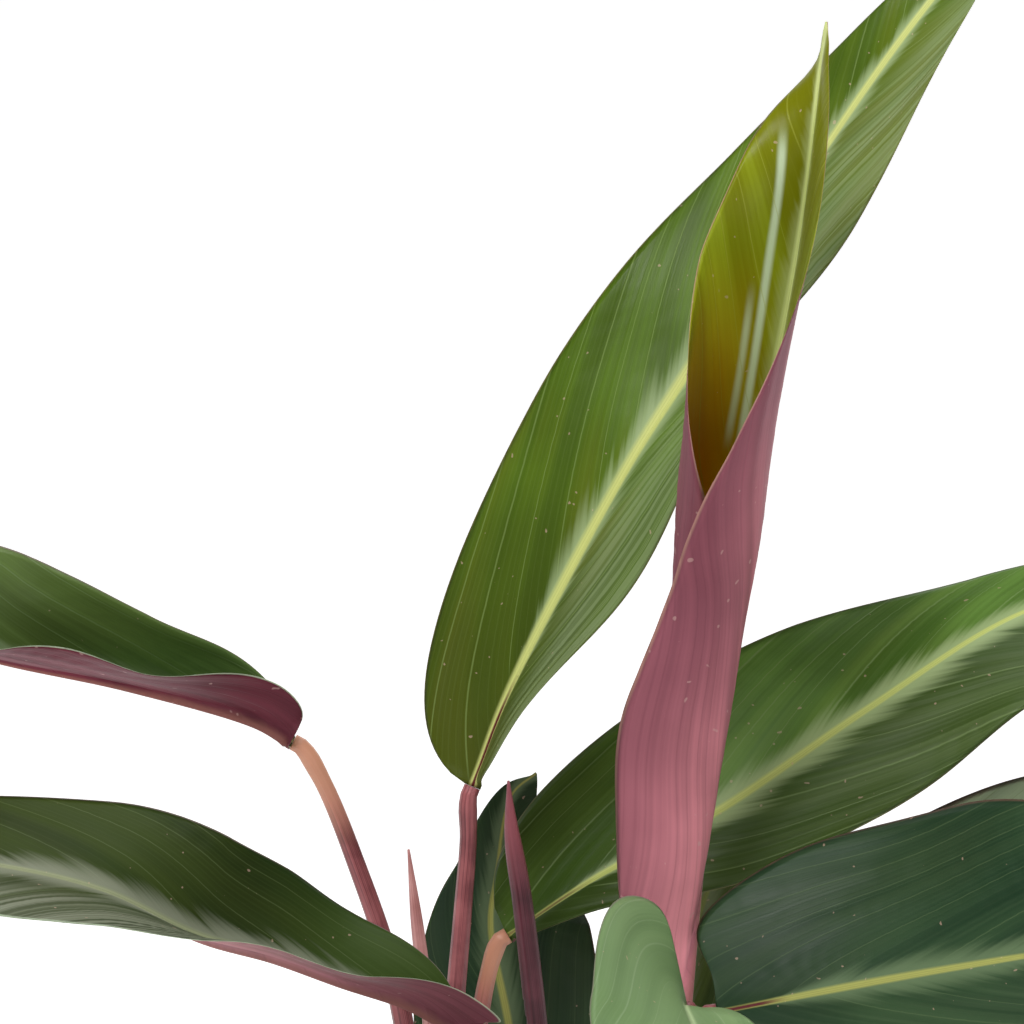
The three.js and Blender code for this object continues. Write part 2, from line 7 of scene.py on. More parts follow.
import bmesh
import bpy
import numpy as np
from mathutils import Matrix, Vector


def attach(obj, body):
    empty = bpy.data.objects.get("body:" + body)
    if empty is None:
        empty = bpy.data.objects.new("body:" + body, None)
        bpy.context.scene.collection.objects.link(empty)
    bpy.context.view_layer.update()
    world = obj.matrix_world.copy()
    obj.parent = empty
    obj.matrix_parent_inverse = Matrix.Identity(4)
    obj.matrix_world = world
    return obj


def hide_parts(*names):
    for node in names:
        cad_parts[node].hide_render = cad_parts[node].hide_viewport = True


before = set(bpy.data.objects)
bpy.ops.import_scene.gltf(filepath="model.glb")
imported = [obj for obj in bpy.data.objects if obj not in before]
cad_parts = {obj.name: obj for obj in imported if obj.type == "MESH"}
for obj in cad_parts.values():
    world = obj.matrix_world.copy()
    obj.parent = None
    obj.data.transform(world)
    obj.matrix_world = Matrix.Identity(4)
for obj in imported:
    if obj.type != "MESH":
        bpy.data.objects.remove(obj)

log = logging.getLogger("stromanthe")

Point = tuple[float, float, float]
Colour = tuple[float, float, float]
Pair = tuple[float, float]
Stations = Sequence[float]
Socket = bpy.types.NodeSocket
Material = bpy.types.Material
Piece = bpy.types.Object
Skin = bmesh.types.BMesh

MM = 0.001
BODY = "root"
SOIL_LEVEL = 134.0

# How near points are merged in a closed skin and in the spun pot, m
SEAM = 1e-7
WELD = 1e-6

WHITE = (1.0, 1.0, 1.0)
# The pale colour of the left half's margin and of the painted highlight stripe
PALE_MARGIN_AND_HIGHLIGHT = (0.6, 0.72, 0.5)


class Speed(Enum):
    """How evenly the points of a smooth course are spaced in its parameter."""

    UNIFORM = 0.0
    CENTRIPETAL = 0.25


@dataclass(frozen=True)
class LeafTone:
    """The colours of one leaf, linear RGB, and how strongly each marking shows, 0 to 1.

    Attributes:
        deep: The upper face's darker green.
        fresh: Its lighter green.
        tint_and_glow: The olive-brown tint that lies in patches over it; on the rolled leaf, the painted
            amber glow of light shining through the leaf and painted shade low inside the roll.
        vein: Its thin side veins.
        feather: The pale feathering beside the midrib, also the colour of the painted sheen.
        midrib: The midrib's stripe.
        under: The underside.
        under_vein_and_shade: The underside's fine dark veins, also the colour of its painted shade.
        blush: The underside towards the base.
        margin: The thin line along the margin.
        feathering: Strength of the feathering.
        tint_and_glow_share: Strength of the olive-brown tint and of the painted glow.
        glow_until: Where along the midrib the painted glow and shade have faded out; at 1 or more the tint
            lies in random patches instead.
        bloom_and_sheen: Strength of the pale streaks over the left and the right half, partly a pale waxy
            film and partly painted sheen.
        highlight_share: Strength of the painted highlight, a pale stripe beside the midrib on the left
            half.
        red_line: Strength of the dark red line on the midrib's base.
        roughness: The upper face's roughness.
        gloss: The upper face's specular level.
        under_gloss: The underside's specular level.
        ruffle: How strongly the relief turns the gloss.
        rib: Half the width of the midrib's stripe near its base and at its tip, mm.
        base: The upper face's colour around the base: painted shade where it is darker than the leaf,
            painted light where it is lighter.
        base_light_and_shade_share: Strength of that painted light and shade at the base.
        half_shade: Its strength as painted shade over the whole left and the whole right half.
        shade: How much painted shade darkens the underside towards the right margin and the midrib.
        pale_edge: How pale the left half's margin is.
    """

    deep: Colour = (0.024, 0.054, 0.01)
    fresh: Colour = (0.065, 0.13, 0.02)
    tint_and_glow: Colour = (0.08, 0.09, 0.014)
    vein: Colour = (0.16, 0.24, 0.09)
    feather: Colour = (0.19, 0.27, 0.12)
    midrib: Colour = (0.26, 0.32, 0.1)
    under: Colour = (0.1, 0.025, 0.04)
    under_vein_and_shade: Colour = (0.05, 0.012, 0.02)
    blush: Colour = (0.1, 0.025, 0.04)
    margin: Colour = (0.19, 0.11, 0.075)
    feathering: float = 0.6
    tint_and_glow_share: float = 0.3
    glow_until: float = 2.0
    bloom_and_sheen: Pair = (0.0, 0.0)
    highlight_share: float = 0.0
    red_line: float = 0.0
    roughness: float = 0.36
    gloss: float = 0.2
    under_gloss: float = 0.2
    ruffle: float = 0.5
    rib: Pair = (1.7, 0.5)
    base: Colour = (0.03, 0.06, 0.008)
    base_light_and_shade_share: float = 0.0
    half_shade: Pair = (0.0, 0.0)
    shade: float = 0.0
    pale_edge: float = 0.0


OLIVE = LeafTone(
    deep=(0.05, 0.092, 0.006), fresh=(0.092, 0.172, 0.01), tint_and_glow=(0.115, 0.11, 0.007),
    vein=(0.24, 0.33, 0.1), feather=(0.32, 0.41, 0.2), midrib=(0.55, 0.58, 0.19),
    under=(0.14, 0.045, 0.07), margin=(0.27, 0.24, 0.075), feathering=0.85, tint_and_glow_share=0.55, red_line=1.0,
    bloom_and_sheen=(0.0, 0.4), gloss=0.14, ruffle=0.35, rib=(2.6, 1.2), base=(0.036, 0.045, 0.003),
    base_light_and_shade_share=0.65,
)
GREEN = LeafTone(
    deep=(0.052, 0.115, 0.013), fresh=(0.13, 0.26, 0.042), vein=(0.22, 0.31, 0.12),
    feather=(0.34, 0.44, 0.2), midrib=(0.52, 0.58, 0.16), red_line=0.7, feathering=0.85,
    bloom_and_sheen=(0.0, 0.1), roughness=0.4, gloss=0.14, rib=(1.5, 0.4), base=(0.022, 0.042, 0.004),
    base_light_and_shade_share=0.6, half_shade=(0.0, 0.76), margin=(0.22, 0.21, 0.09),
)
BLUE_GREEN = LeafTone(
    deep=(0.012, 0.036, 0.015), fresh=(0.031, 0.07, 0.027), tint_and_glow=(0.025, 0.036, 0.013),
    vein=(0.09, 0.14, 0.06), feather=(0.15, 0.22, 0.11), midrib=(0.37, 0.38, 0.1), feathering=0.7,
    red_line=1.0, bloom_and_sheen=(0.0, 0.1), rib=(1.4, 0.4), roughness=0.42, gloss=0.17, ruffle=0.3,
)
DARK_GREEN = LeafTone(
    deep=(0.046, 0.088, 0.022), fresh=(0.12, 0.21, 0.052), tint_and_glow=(0.1, 0.11, 0.02),
    vein=(0.2, 0.28, 0.13), feather=(0.24, 0.31, 0.17), under=(0.12, 0.022, 0.035),
    blush=(0.115, 0.026, 0.038), margin=(0.28, 0.2, 0.19), feathering=0.75, base=(0.07, 0.12, 0.032),
    base_light_and_shade_share=0.6, pale_edge=0.8, under_gloss=0.07,
)
DEEP_GREEN = LeafTone(
    deep=(0.011, 0.025, 0.004), fresh=(0.034, 0.062, 0.009), tint_and_glow=(0.04, 0.042, 0.008),
    vein=(0.12, 0.16, 0.06), feather=(0.27, 0.29, 0.21), midrib=(0.3, 0.33, 0.19),
    # Painted highlight: the pale pink underside stands in for the light along its rim
    under=(0.5, 0.24, 0.27), blush=(0.2, 0.06, 0.08), margin=(0.34, 0.27, 0.24), feathering=0.75,
    bloom_and_sheen=(0.72, 0.0), roughness=0.46, gloss=0.1, base=(0.05, 0.085, 0.016), base_light_and_shade_share=0.8,
    pale_edge=0.8, under_gloss=0.12,
)
# Painted sheen: a pale upper face that stands in for the pale sheen on the right low leaf
SILVER_SHEEN = LeafTone(
    deep=(0.25, 0.36, 0.21), fresh=(0.42, 0.56, 0.33), tint_and_glow=(0.28, 0.36, 0.17), feathering=0.3,
    gloss=0.3,
)
ROLLED = LeafTone(
    deep=(0.145, 0.155, 0.002), fresh=(0.25, 0.31, 0.012), tint_and_glow=(0.76, 0.245, 0.001),
    vein=(0.34, 0.36, 0.05), feather=(0.42, 0.48, 0.2), midrib=(0.56, 0.62, 0.25),
    under=(0.4, 0.135, 0.165), under_vein_and_shade=(0.16, 0.042, 0.066), blush=(0.8, 0.3, 0.34),
    margin=(0.55, 0.3, 0.24), feathering=0.5, tint_and_glow_share=0.95, glow_until=0.79, bloom_and_sheen=(0.0, 0.1),
    highlight_share=0.8, roughness=0.34, gloss=0.13, ruffle=0.2, rib=(2.6, 1.3), shade=1.0, under_gloss=0.08,
)
# Painted sheen: a pale grey-green upper face that stands in for the sheen on the front leaf, seen at a
# grazing angle
PALE_SHEEN = LeafTone(
    deep=(0.135, 0.23, 0.09), fresh=(0.205, 0.32, 0.135), tint_and_glow=(0.2, 0.3, 0.12),
    vein=(0.32, 0.42, 0.24), feather=(0.32, 0.43, 0.23), midrib=(0.4, 0.52, 0.27),
    margin=(0.28, 0.27, 0.2), feathering=0.2, tint_and_glow_share=0.2, roughness=0.45, ruffle=0.1,
)


def even(*values: float) -> tuple[Stations, Stations]:
    """The same stations for the left and the right half."""
    return values, values


@dataclass(frozen=True)
class Leaf:
    """One leaf's form, in millimetres and degrees. Pairs hold the left half first.

    Attributes:
        name: The ending of the names of its blade and stem.
        tone: Its colours.
        root: Where the stem enters the soil.
        stem: Points of the stem's course between the soil and the blade.
        half: Half widths.
        midrib: Points of the midrib's course from base to tip.
        face: Where the upper face looks at even stations along the midrib.
        fold: The folds at the midrib at even stations.
        curl: The further turns out to the margins at even stations.
        profile: The powers of the widths from base and from tip.
        heel: Backward sweeps of the base lobes.
        wave: Height of the left and the right margin's ripple, its count and its start.
        flat: Squeeze of the blade front to back at even stations.
        pleat: Height of the fine pleats along the side veins.
        slot: The record's material slot; not used.
        seed: Start of the leaf's own irregularities.
    """

    name: str
    tone: LeafTone
    root: Pair
    stem: Sequence[Point]
    half: Pair
    midrib: Sequence[Point]
    face: Sequence[Point]
    fold: tuple[Stations, Stations] = even(22, 12, 8)
    curl: tuple[Stations, Stations] = even(5, 0, -5)
    profile: tuple[Pair, Pair] = ((0.5, 0.85), (0.5, 0.85))
    heel: Pair = (8, 8)
    wave: tuple[float, float, float, float] = (0, 0, 0, 0)
    flat: Stations = (1.0,)
    pleat: float = 0.1
    slot: str = "leaf"
    seed: float = 0.0


GROWTH = (
    Leaf(
        "upright", OLIVE, root=(-14, 6),
        stem=((-14, 4, 184), (-13, 2, 244), (-10, 3, 283), (-8.4, 4, 304)), half=(36.2, 37.2),
        profile=((0.45, 0.95), (0.64, 0.7)), heel=(0, 2), wave=(-0.8, 6, 2.4, -0.2),
        fold=((-5, -14, -7, 2, -15, -19, 20), (64, 48, 56, 33, 49, 24, 31)),
        curl=((-1, 10, -1, 5, 4, 2, 12), (-11, 9, -18, 22, 0, 22, 5)),
        midrib=((-7.2, 4.7, 319.6), (3.1, 8.5, 345.7), (36.3, 11.7, 408.4), (56.2, 20, 439.6),
                (81.4, 30, 480.2), (111.6, 42, 524.4), (144.1, 58, 564)),
        face=((-0.24, -0.94, 0.2), (-0.36, -0.92, 0.11), (-0.33, -0.91, 0.13)),
    ),
    Leaf(
        "rolled", ROLLED, root=(32, -20), stem=((38, -24, 190),), half=(49.4, 52.1),
        profile=((0.84, 1.09), (0.57, 1.02)), heel=(3, 3), flat=(0.6, 0.55, 0.65, 1.16, 0.88, 1.01),
        pleat=0.05, slot="leaf_rolled",
        fold=((0, 0, 8, 22, 22, 38, 36, 50, -30), (10, -9, 0, 8, 15, 44, 54, 51, 34)),
        curl=((215, 239, 255, 247, 197, 89, 42, -29, -78), (226, 185, 162, 102, 95, 53, 14, -13, -38)),
        midrib=((51.5, -33.8, 264.2), (55.8, -30.6, 308.2), (63.2, -28.6, 353.7), (68.2, -25.8, 385.4),
                (75.3, -29.3, 434.1), (82.6, -29.6, 476.2), (87.2, -32.3, 514.8), (89.5, -34, 538.4)),
        face=((-0.96, -0.18, 0), (-0.87, -0.44, 0), (-0.94, -0.55, 0), (-0.29, -0.4, 0),
              (-0.6, -1.09, 0), (-0.63, -0.39, 0)),
    ),
    Leaf(
        "right", GREEN, root=(-3, 16), stem=((-6, 8, 198), (-6, 8, 245)), half=(40.2, 30.5),
        profile=((0.39, 0.95), (0.99, 0.77)), heel=(1, 8), wave=(1.8, 5.1, 2.1, 0.4), pleat=0.14,
        fold=((-11, 1, -13, -39, -39), (33, 8, 9, 9, 0)),
        curl=((-5, 6, 7, -2, 3), (20, -40, 5, -4, -5)),
        midrib=((2.9, 11.9, 274.9), (26.4, 14.3, 290.3), (62.7, 17.8, 309.8), (104.9, 24, 337.8),
                (146.9, 32, 363.5), (185, 44, 374.8), (214, 60, 385.9)),
        face=((-0.16, -0.73, 0.62), (-0.23, -0.8, 0.43), (-0.3, -0.93, 0.14)),
    ),
    Leaf(
        "front_right", BLUE_GREEN, root=(42, -33), stem=((45, -38, 200), (52, -41, 248)), half=(51, 40),
        profile=((0.53, 0.98), (0.5, 0.85)), heel=(10, 8), wave=(2.3, 1, 2.4, 0.2),
        fold=((-2, -2, 15, 6), (15, 11, 10, 10)), curl=((-1, -3, 9, 0), (5, 1, 0, 0)),
        midrib=((60.7, -45.1, 265.6), (96.3, -54.9, 275), (126.2, -66, 283), (157.1, -80, 290.9),
                (187.8, -96, 295.8), (213, -114, 296)),
        face=((0.04, -0.81, 0.33), (0, -0.71, 0.7), (0.1, -0.6, 0.75)),
    ),
    Leaf(
        "upper_left", DARK_GREEN, root=(-19, 22),
        stem=((-21, 16, 196), (-29, 8, 260), (-41, 2, 300), (-49.4, 0.3, 321.5)), half=(34.2, 31),
        profile=((0.5, 0.93), (0.77, 0.82)), heel=(2, 0), wave=(3.6, 1.1, 2.3, 0.3),
        fold=((73, 55, 47, 44, 41, 30), (38, 68, 63, 40, 33, 30)),
        curl=((27, 4, 4, 6, 7, 5), (2, 26, 24, 9, 2, 5)),
        midrib=((-58, -0.8, 333.5), (-67.8, -1, 339.4), (-104.4, -0.5, 349.7), (-139.9, -3.9, 357.6),
                (-168.4, -10, 366.6), (-199.6, -20, 363.5), (-224.2, -34, 356.6)),
        face=((-0.05, -0.47, 0.86), (0, -0.56, 0.83), (0, -0.5, 0.84)),
    ),
    Leaf(
        "lower_left", DEEP_GREEN, root=(-4, -30), stem=((0, -34, 200), (2, -39, 245)),
        half=(29.4, 29.5), profile=((0.41, 0.89), (0.78, 0.94)), heel=(11, 0),
        wave=(0.2, 1.7, 1.8, 0.2), fold=((71, 48, 41, 14, -8, 0), (61, 22, 32, 18, 19, 20)),
        curl=((18, -1, 2, -8, -18, -10), (19, -6, 5, 1, 6, 10)),
        midrib=((-9.2, -42, 258.5), (-23.6, -45, 267.9), (-43.2, -49, 275.5), (-61.4, -53, 282.9),
                (-81.5, -57, 289.4), (-107.6, -62, 303.3), (-135, -66, 311), (-163.9, -74, 315.6),
                (-193.9, -86, 313.1)),
        face=((0, -0.51, 0.84), (0, -0.45, 0.84), (0, -0.4, 0.9)),
    ),
    Leaf(
        "back_centre", BLUE_GREEN, root=(8, 36), stem=((7, 38, 165),), half=(28.3, 30.7),
        profile=((0.44, 1.24), (0.55, 0.81)), heel=(4, 4), wave=(1.6, 1, 1.9, 0.1),
        fold=((20, 18, 27, 17), (15, 17, 11, 10)), curl=((10, 4, 11, -1), (5, 3, -2, 0)),
        midrib=((5, 40, 214.9), (3.3, 42, 239.9), (-2.3, 46, 270.5), (-0.6, 50, 284.7),
                (3.8, 56, 307.2), (11.1, 60, 313.1)),
        face=((-0.1, -0.95, 0.1), (0, -0.95, 0.2), (0.1, -0.9, 0.3)),
    ),
    Leaf(
        "back_right", DARK_GREEN, root=(46, 40), stem=((51, 47, 180),), half=(26, 22), heel=(3, 3),
        wave=(1, 1, 2, 0.1), fold=((10, 10, 10), (45, 45, 30)), curl=((10, 5, 0), (5, 0, 0)),
        midrib=((54, 55, 225), (55, 58, 249), (58, 64, 265), (64, 72, 281), (71, 84, 300)),
        face=((0.1, -0.95, 0.1), (0.1, -0.95, 0.2), (0.1, -0.9, 0.3)),
    ),
    Leaf(
        "right_low", SILVER_SHEEN, root=(48, 6), stem=((56, 2, 190), (68, 0, 240)), half=(31, 25),
        heel=(7, 7), wave=(1, 1, 2, 0.1), fold=even(10, 10, 10), curl=((5, 5, 0), (5, 0, 0)),
        midrib=((81, 4, 256), (107, 14, 267), (136, 24, 280), (165, 34, 293), (195, 46, 302),
                (226, 60, 304)),
        face=((-0.1, -0.7, 0.6), (0, -0.7, 0.6), (0.1, -0.6, 0.7)),
    ),
    Leaf(
        "front", PALE_SHEEN, root=(32, -52), stem=((40, -60, 190), (49, -68, 245)), half=(26, 37.1),
        profile=((0.46, 0.79), (0.23, 0.64)), heel=(0, 0), wave=(0, 0, 2, 0.1), pleat=0.03,
        slot="leaf_pale", fold=((53, -5, 6, 10, 10, 10), (32, 20, 30, 60, 30, 20)), curl=even(0),
        midrib=((51.7, -75.3, 273.3), (50.5, -89.4, 277.5), (54.6, -114.9, 269.3),
                (52.7, -140.2, 253.9), (57.1, -162, 231.8), (60, -178, 208.3)),
        face=((0.65, -0.18, 0.73), (0, -0.2, 1), (0, -0.4, 0.9)),
    ),
    Leaf(
        "low_front_left", GREEN, root=(-22, -42), stem=((-25, -47, 170),), half=(30, 31),
        wave=(1, 1.5, 2, 0.2), fold=even(25, 15, 10),
        midrib=((-28, -58, 215), (-58, -84, 236), (-92, -112, 244), (-126, -142, 238),
                (-158, -170, 216), (-184, -194, 182)),
        face=((0.1, -0.3, 0.95), (0, -0.3, 0.95), (-0.3, -0.5, 0.8)),
    ),
    Leaf(
        "low_front_right", OLIVE, root=(56, -36), stem=((57, -46, 160),), half=(31, 31),
        wave=(1.5, 1, 2, 0.4), fold=even(25, 12, 8),
        midrib=((58, -62, 196), (88, -90, 208), (118, -120, 210), (150, -150, 200), (178, -180, 178),
                (200, -206, 146)),
        face=((-0.1, -0.3, 0.95), (0.1, -0.35, 0.93), (0.4, -0.5, 0.75)),
    ),
    Leaf(
        "low_left", GREEN, root=(-34, 4), stem=((-33, 7, 165),), half=(32, 32), wave=(1.5, 1.5, 2, 0.7),
        midrib=((-40, 10, 190), (-80, 18, 212), (-120, 26, 222), (-162, 36, 218), (-200, 46, 200),
                (-232, 54, 172)),
        face=((-0.1, -0.3, 0.95), (-0.1, -0.2, 0.95), (-0.4, -0.2, 0.85)),
    ),
    Leaf(
        "low_back_right", GREEN, root=(24, 56), stem=((24, 59, 160),), half=(30, 30),
        wave=(1, 1.5, 2, 0.1),
        midrib=((30, 66, 188), (64, 92, 212), (100, 116, 220), (136, 140, 214), (168, 162, 194),
                (192, 180, 164)),
        face=((0, 0.2, 0.95), (0.1, 0.2, 0.95), (0.4, 0.3, 0.85)),
    ),
    Leaf(
        "low_back", DARK_GREEN, root=(-8, 52), stem=((-8, 55, 160),), half=(31, 31),
        wave=(1.5, 1, 2, 0.5),
        midrib=((-10, 62, 192), (-24, 98, 208), (-40, 136, 212), (-58, 172, 202), (-74, 204, 180),
                (-88, 230, 148)),
        face=((0, -0.2, 0.95), (0, 0.1, 0.95), (-0.2, 0.4, 0.85)),
    ),
    Leaf(
        "low_front", GREEN, root=(8, -50), stem=((8, -54, 155),), half=(29, 29), wave=(1, 1.5, 2, 0.3),
        fold=even(25, 15, 10),
        midrib=((6, -66, 180), (4, -100, 196), (0, -136, 196), (-6, -170, 180), (-12, -200, 150),
                (-16, -222, 112)),
        face=((0, -0.3, 0.95), (0, -0.4, 0.9), (0, -0.7, 0.7)),
    ),
)
LEAVES = tuple(replace(leaf, seed=float(place)) for place, leaf in enumerate(GROWTH, 1))


def course(points: Sequence[Point], places: np.ndarray, speed: Speed) -> np.ndarray:
    """Points of a smooth course at parameter values.

    Args:
        points: The points that the course passes through.
        places: Parameter values from 0 to 1.
        speed: How the parameter is spaced between uneven points.

    Returns:
        One row per place.
    """
    knots = np.array(points, float)
    if knots.ndim == 1:
        knots = knots[:, None]
    spans = len(knots) - 1
    if spans == 0:
        return np.repeat(knots, len(places), 0)
    ends = np.vstack([2 * knots[0] - knots[1], knots, 2 * knots[-1] - knots[-2]])
    at = np.clip(places, 0, 1) * spans
    i = np.minimum(at.astype(int), spans - 1)
    w = (at - i)[:, None]
    p0, p1, p2, p3 = ends[i], ends[i + 1], ends[i + 2], ends[i + 3]
    if speed is Speed.UNIFORM:
        start, stop = 0.5 * (p2 - p0), 0.5 * (p3 - p1)
    else:
        d0, d1, d2 = (((b - a) ** 2).sum(1, keepdims=True) ** speed.value
                      for a, b in ((p0, p1), (p1, p2), (p2, p3)))
        start = ((p1 - p0) / d0 - (p2 - p0) / (d0 + d1) + (p2 - p1) / d1) * d1
        stop = ((p2 - p1) / d1 - (p3 - p1) / (d1 + d2) + (p3 - p2) / d2) * d1
    return (p1 + start * w + (3 * (p2 - p1) - 2 * start - stop) * w**2
            + (2 * (p1 - p2) + start + stop) * w**3)


class Path:
    """A smooth course that is read by the length run along it."""

    DIVISIONS = 200
    NUDGE = 1e-3

    def __init__(self, points: Sequence[Point]) -> None:
        """Measures the course.

        Args:
            points: The points that it passes through.
        """
        self.points = points
        self.grid = np.linspace(0, 1, self.DIVISIONS + 1)
        rows = course(points, self.grid, Speed.CENTRIPETAL)
        steps = np.linalg.norm(np.diff(rows, axis=0), axis=1)
        self.run = np.concatenate([[0.0], np.cumsum(steps)])
        self.length = float(self.run[-1])

    def at(self, share: np.ndarray) -> np.ndarray:
        """The points at shares of the length."""
        places = np.interp(share * self.length, self.run, self.grid)
        return course(self.points, places, Speed.CENTRIPETAL)

    def along(self, share: np.ndarray) -> np.ndarray:
        """The unit directions at shares of the length."""
        ahead = self.at(np.clip(share + self.NUDGE, 0, 1))
        return unit(ahead - self.at(np.clip(share - self.NUDGE, 0, 1)))


def unit(rows: np.ndarray) -> np.ndarray:
    """Each row at length 1."""
    return rows / np.linalg.norm(rows, axis=-1, keepdims=True)


def stations(values: Stations, share: np.ndarray) -> np.ndarray:
    """The smooth value at each share from evenly spaced stations."""
    return course(values, share, Speed.UNIFORM)[:, 0]


def ease(value: np.ndarray, low: float, high: float) -> np.ndarray:
    """0 below low, 1 above high, and smooth between."""
    t = np.clip((value - low) / (high - low), 0, 1)
    return t * t * (3 - 2 * t)


def closed_skin(points: np.ndarray, facts: dict[str, np.ndarray], far_side: int | None = None) -> Skin:
    """Bends a grid round into a closed skin: its seam is merged and its two ends are filled.

    Args:
        points: Where each vertex goes, in metres, by row and column; the last column meets the first.
        facts: Numbers to keep on the vertices, by row and column.
        far_side: The column from which on the faces take the second material.

    Returns:
        The closed mesh, its faces turned outwards.
    """
    rows, columns = points.shape[0] - 1, points.shape[1] - 1
    made = bmesh.new()
    layers = {key: made.verts.layers.float.new(key) for key in facts}
    bmesh.ops.create_grid(made, x_segments=rows, y_segments=columns, size=0.5)
    if far_side is not None:
        for face in made.faces:
            if (face.calc_center_median().y + 0.5) * columns > far_side:
                face.material_index = 1
    for vertex in made.verts:
        i, j = round((vertex.co.x + 0.5) * rows), round((vertex.co.y + 0.5) * columns)
        vertex.co = points[i, j]
        for key, layer in layers.items():
            vertex[layer] = facts[key][i, j]
    bmesh.ops.remove_doubles(made, verts=made.verts, dist=SEAM)
    rim = [edge for edge in made.edges if edge.is_boundary]
    bmesh.ops.holes_fill(made, edges=rim, sides=0)
    bmesh.ops.recalc_face_normals(made, faces=made.faces)
    return made


def piece_from(made: Skin, name: str, materials: Sequence[Material]) -> Piece:
    """Turns a finished mesh into a smooth-shaded piece of the object.

    Args:
        made: The mesh, which is freed.
        name: The piece's name.
        materials: Its materials in the order of the faces' places.

    Returns:
        The new object, at the origin.
    """
    mesh = bpy.data.meshes.new(name)
    for face in made.faces:
        face.smooth = True
    made.to_mesh(mesh)
    made.free()
    for material in materials:
        mesh.materials.append(material)
    piece = bpy.data.objects.new(name, mesh)
    bpy.context.scene.collection.objects.link(piece)
    return piece


def stand_in_for(piece: Piece, node: str) -> None:
    """Puts a piece in the place of a node, on the one body.

    Args:
        piece: The finished piece.
        node: The node that it replaces.
    """
    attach(piece, BODY)
    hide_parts(node)
    log.info("%s: %d faces", piece.name, len(piece.data.polygons))


class Graph:
    """The nodes of one material, with short ways to add and join them."""

    def __init__(self, name: str) -> None:
        """Starts a material with its shader.

        Args:
            name: The material's name.
        """
        self.material = bpy.data.materials.new(name)
        self.material.use_nodes = True
        self.tree = self.material.node_tree
        self.shader = self.tree.nodes["Principled BSDF"]

    def feed(self, socket: Socket, value: object) -> None:
        """Joins an input to a socket, or sets it to a plain value.

        Args:
            socket: The input.
            value: A socket, a number or a colour.
        """
        if isinstance(value, Socket):
            self.tree.links.new(value, socket)
        elif isinstance(value, tuple) and len(value) == 3 and len(socket.default_value) == 4:
            socket.default_value = (*value, 1.0)
        else:
            socket.default_value = value

    def node(self, kind: str, *values: object, **settings: object) -> bpy.types.Node:
        """Adds a node.

        Args:
            kind: Its type.
            values: What its first inputs get.
            settings: Its own properties.

        Returns:
            The node.
        """
        made = self.tree.nodes.new(kind)
        for key, value in settings.items():
            setattr(made, key, value)
        for socket, value in zip(made.inputs, values):
            self.feed(socket, value)
        return made

    def attributes(self, *names: str) -> list[Socket]:
        """Numbers kept on the piece's vertices."""
        return [self.node("ShaderNodeAttribute", attribute_name=name).outputs["Fac"] for name in names]

    def position(self) -> Socket:
        """The place on the object, in metres."""
        return self.node("ShaderNodeTexCoord").outputs["Object"]

    def math(self, operation: str, a: object, b: object = 0.0, c: object = 0.0) -> Socket:
        """One step of arithmetic on two or three numbers."""
        return self.node("ShaderNodeMath", a, b, c, operation=operation).outputs[0]

    def rise(self, value: object, low: float, high: float, start: float = 0.0, stop: float = 1.0) -> Socket:
        """A smooth step: start below low, stop above high."""
        numbers = (low, high, start, stop)
        return self.node("ShaderNodeMapRange", value, *numbers, interpolation_type="SMOOTHSTEP").outputs[0]

    def noise(self, vector: Socket, scale: float, detail: float = 2.0) -> Socket:
        """Smooth noise.

        Args:
            vector: The place that it is read at.
            scale: How many grains there are to a unit.
            detail: How much finer noise is added.

        Returns:
            The noise from 0 to 1.
        """
        made = self.node("ShaderNodeTexNoise")
        for key, value in (("Vector", vector), ("Scale", scale), ("Detail", detail)):
            self.feed(made.inputs[key], value)
        return made.outputs["Fac"]

    def mix(self, factor: object, a: object, b: object) -> Socket:
        """A blend of two colours.

        Args:
            factor: The second colour's share, 0 to 1.
            a: The first colour.
            b: The second colour.

        Returns:
            The blend.
        """
        made = self.node("ShaderNodeMix", factor, data_type="RGBA")
        self.feed(made.inputs[6], a)
        self.feed(made.inputs[7], b)
        return made.outputs[2]

    def scaled(self, *factors: object) -> Socket:
        """A product.

        Args:
            factors: Sockets and plain numbers, a socket first.

        Returns:
            The product.
        """
        whole = factors[0]
        for factor in factors[1:]:
            whole = self.math("MULTIPLY", whole, factor)
        return whole

    def total(self, *terms: tuple[object, float], base: float = 0.0) -> Socket:
        """A weighted sum.

        Args:
            terms: Sockets and their weights.
            base: What they are added to.

        Returns:
            The sum.
        """
        whole: object = base
        for term, weight in terms:
            whole = self.math("MULTIPLY_ADD", term, weight, whole)
        return whole

    def apart(self, value: object, middle: object) -> Socket:
        """How far a number lies from a middle one."""
        return self.math("ABSOLUTE", self.math("SUBTRACT", value, middle))

    def grain(self, across: object, along: object, size: Pair, seed: float, detail: float) -> Socket:
        """Noise drawn out along one direction.

        Args:
            across: The distance across the streaks.
            along: The distance along them.
            size: Of a streak, across and along.
            seed: Which streaks of all there are.
            detail: How much finer streaks are added.

        Returns:
            The noise from 0 to 1.
        """
        x, y = (self.math("DIVIDE", way, reach) for way, reach in zip((across, along), size))
        return self.noise(self.node("ShaderNodeCombineXYZ", x, y, seed).outputs[0], 1.0, detail)

    def lines(
        self, across: object, pitch: float, width: float, wander: object, spread: object = 1.0,
    ) -> Socket:
        """Thin lines at a pitch.

        Args:
            across: The distance across the lines.
            pitch: From one line to the next.
            width: Of a line, with its soft edges.
            wander: A number that shifts the lines by as many pitches.
            spread: How many times wider than that a line is at a place.

        Returns:
            1 on a line and 0 between.
        """
        turns = self.math("ADD", self.math("DIVIDE", across, pitch), wander)
        apart = self.math("DIVIDE", self.apart(self.math("FRACT", turns), 0.5), spread)
        return self.rise(apart, 0.1 * width / pitch, 0.5 * width / pitch, 1.0, 0.0)

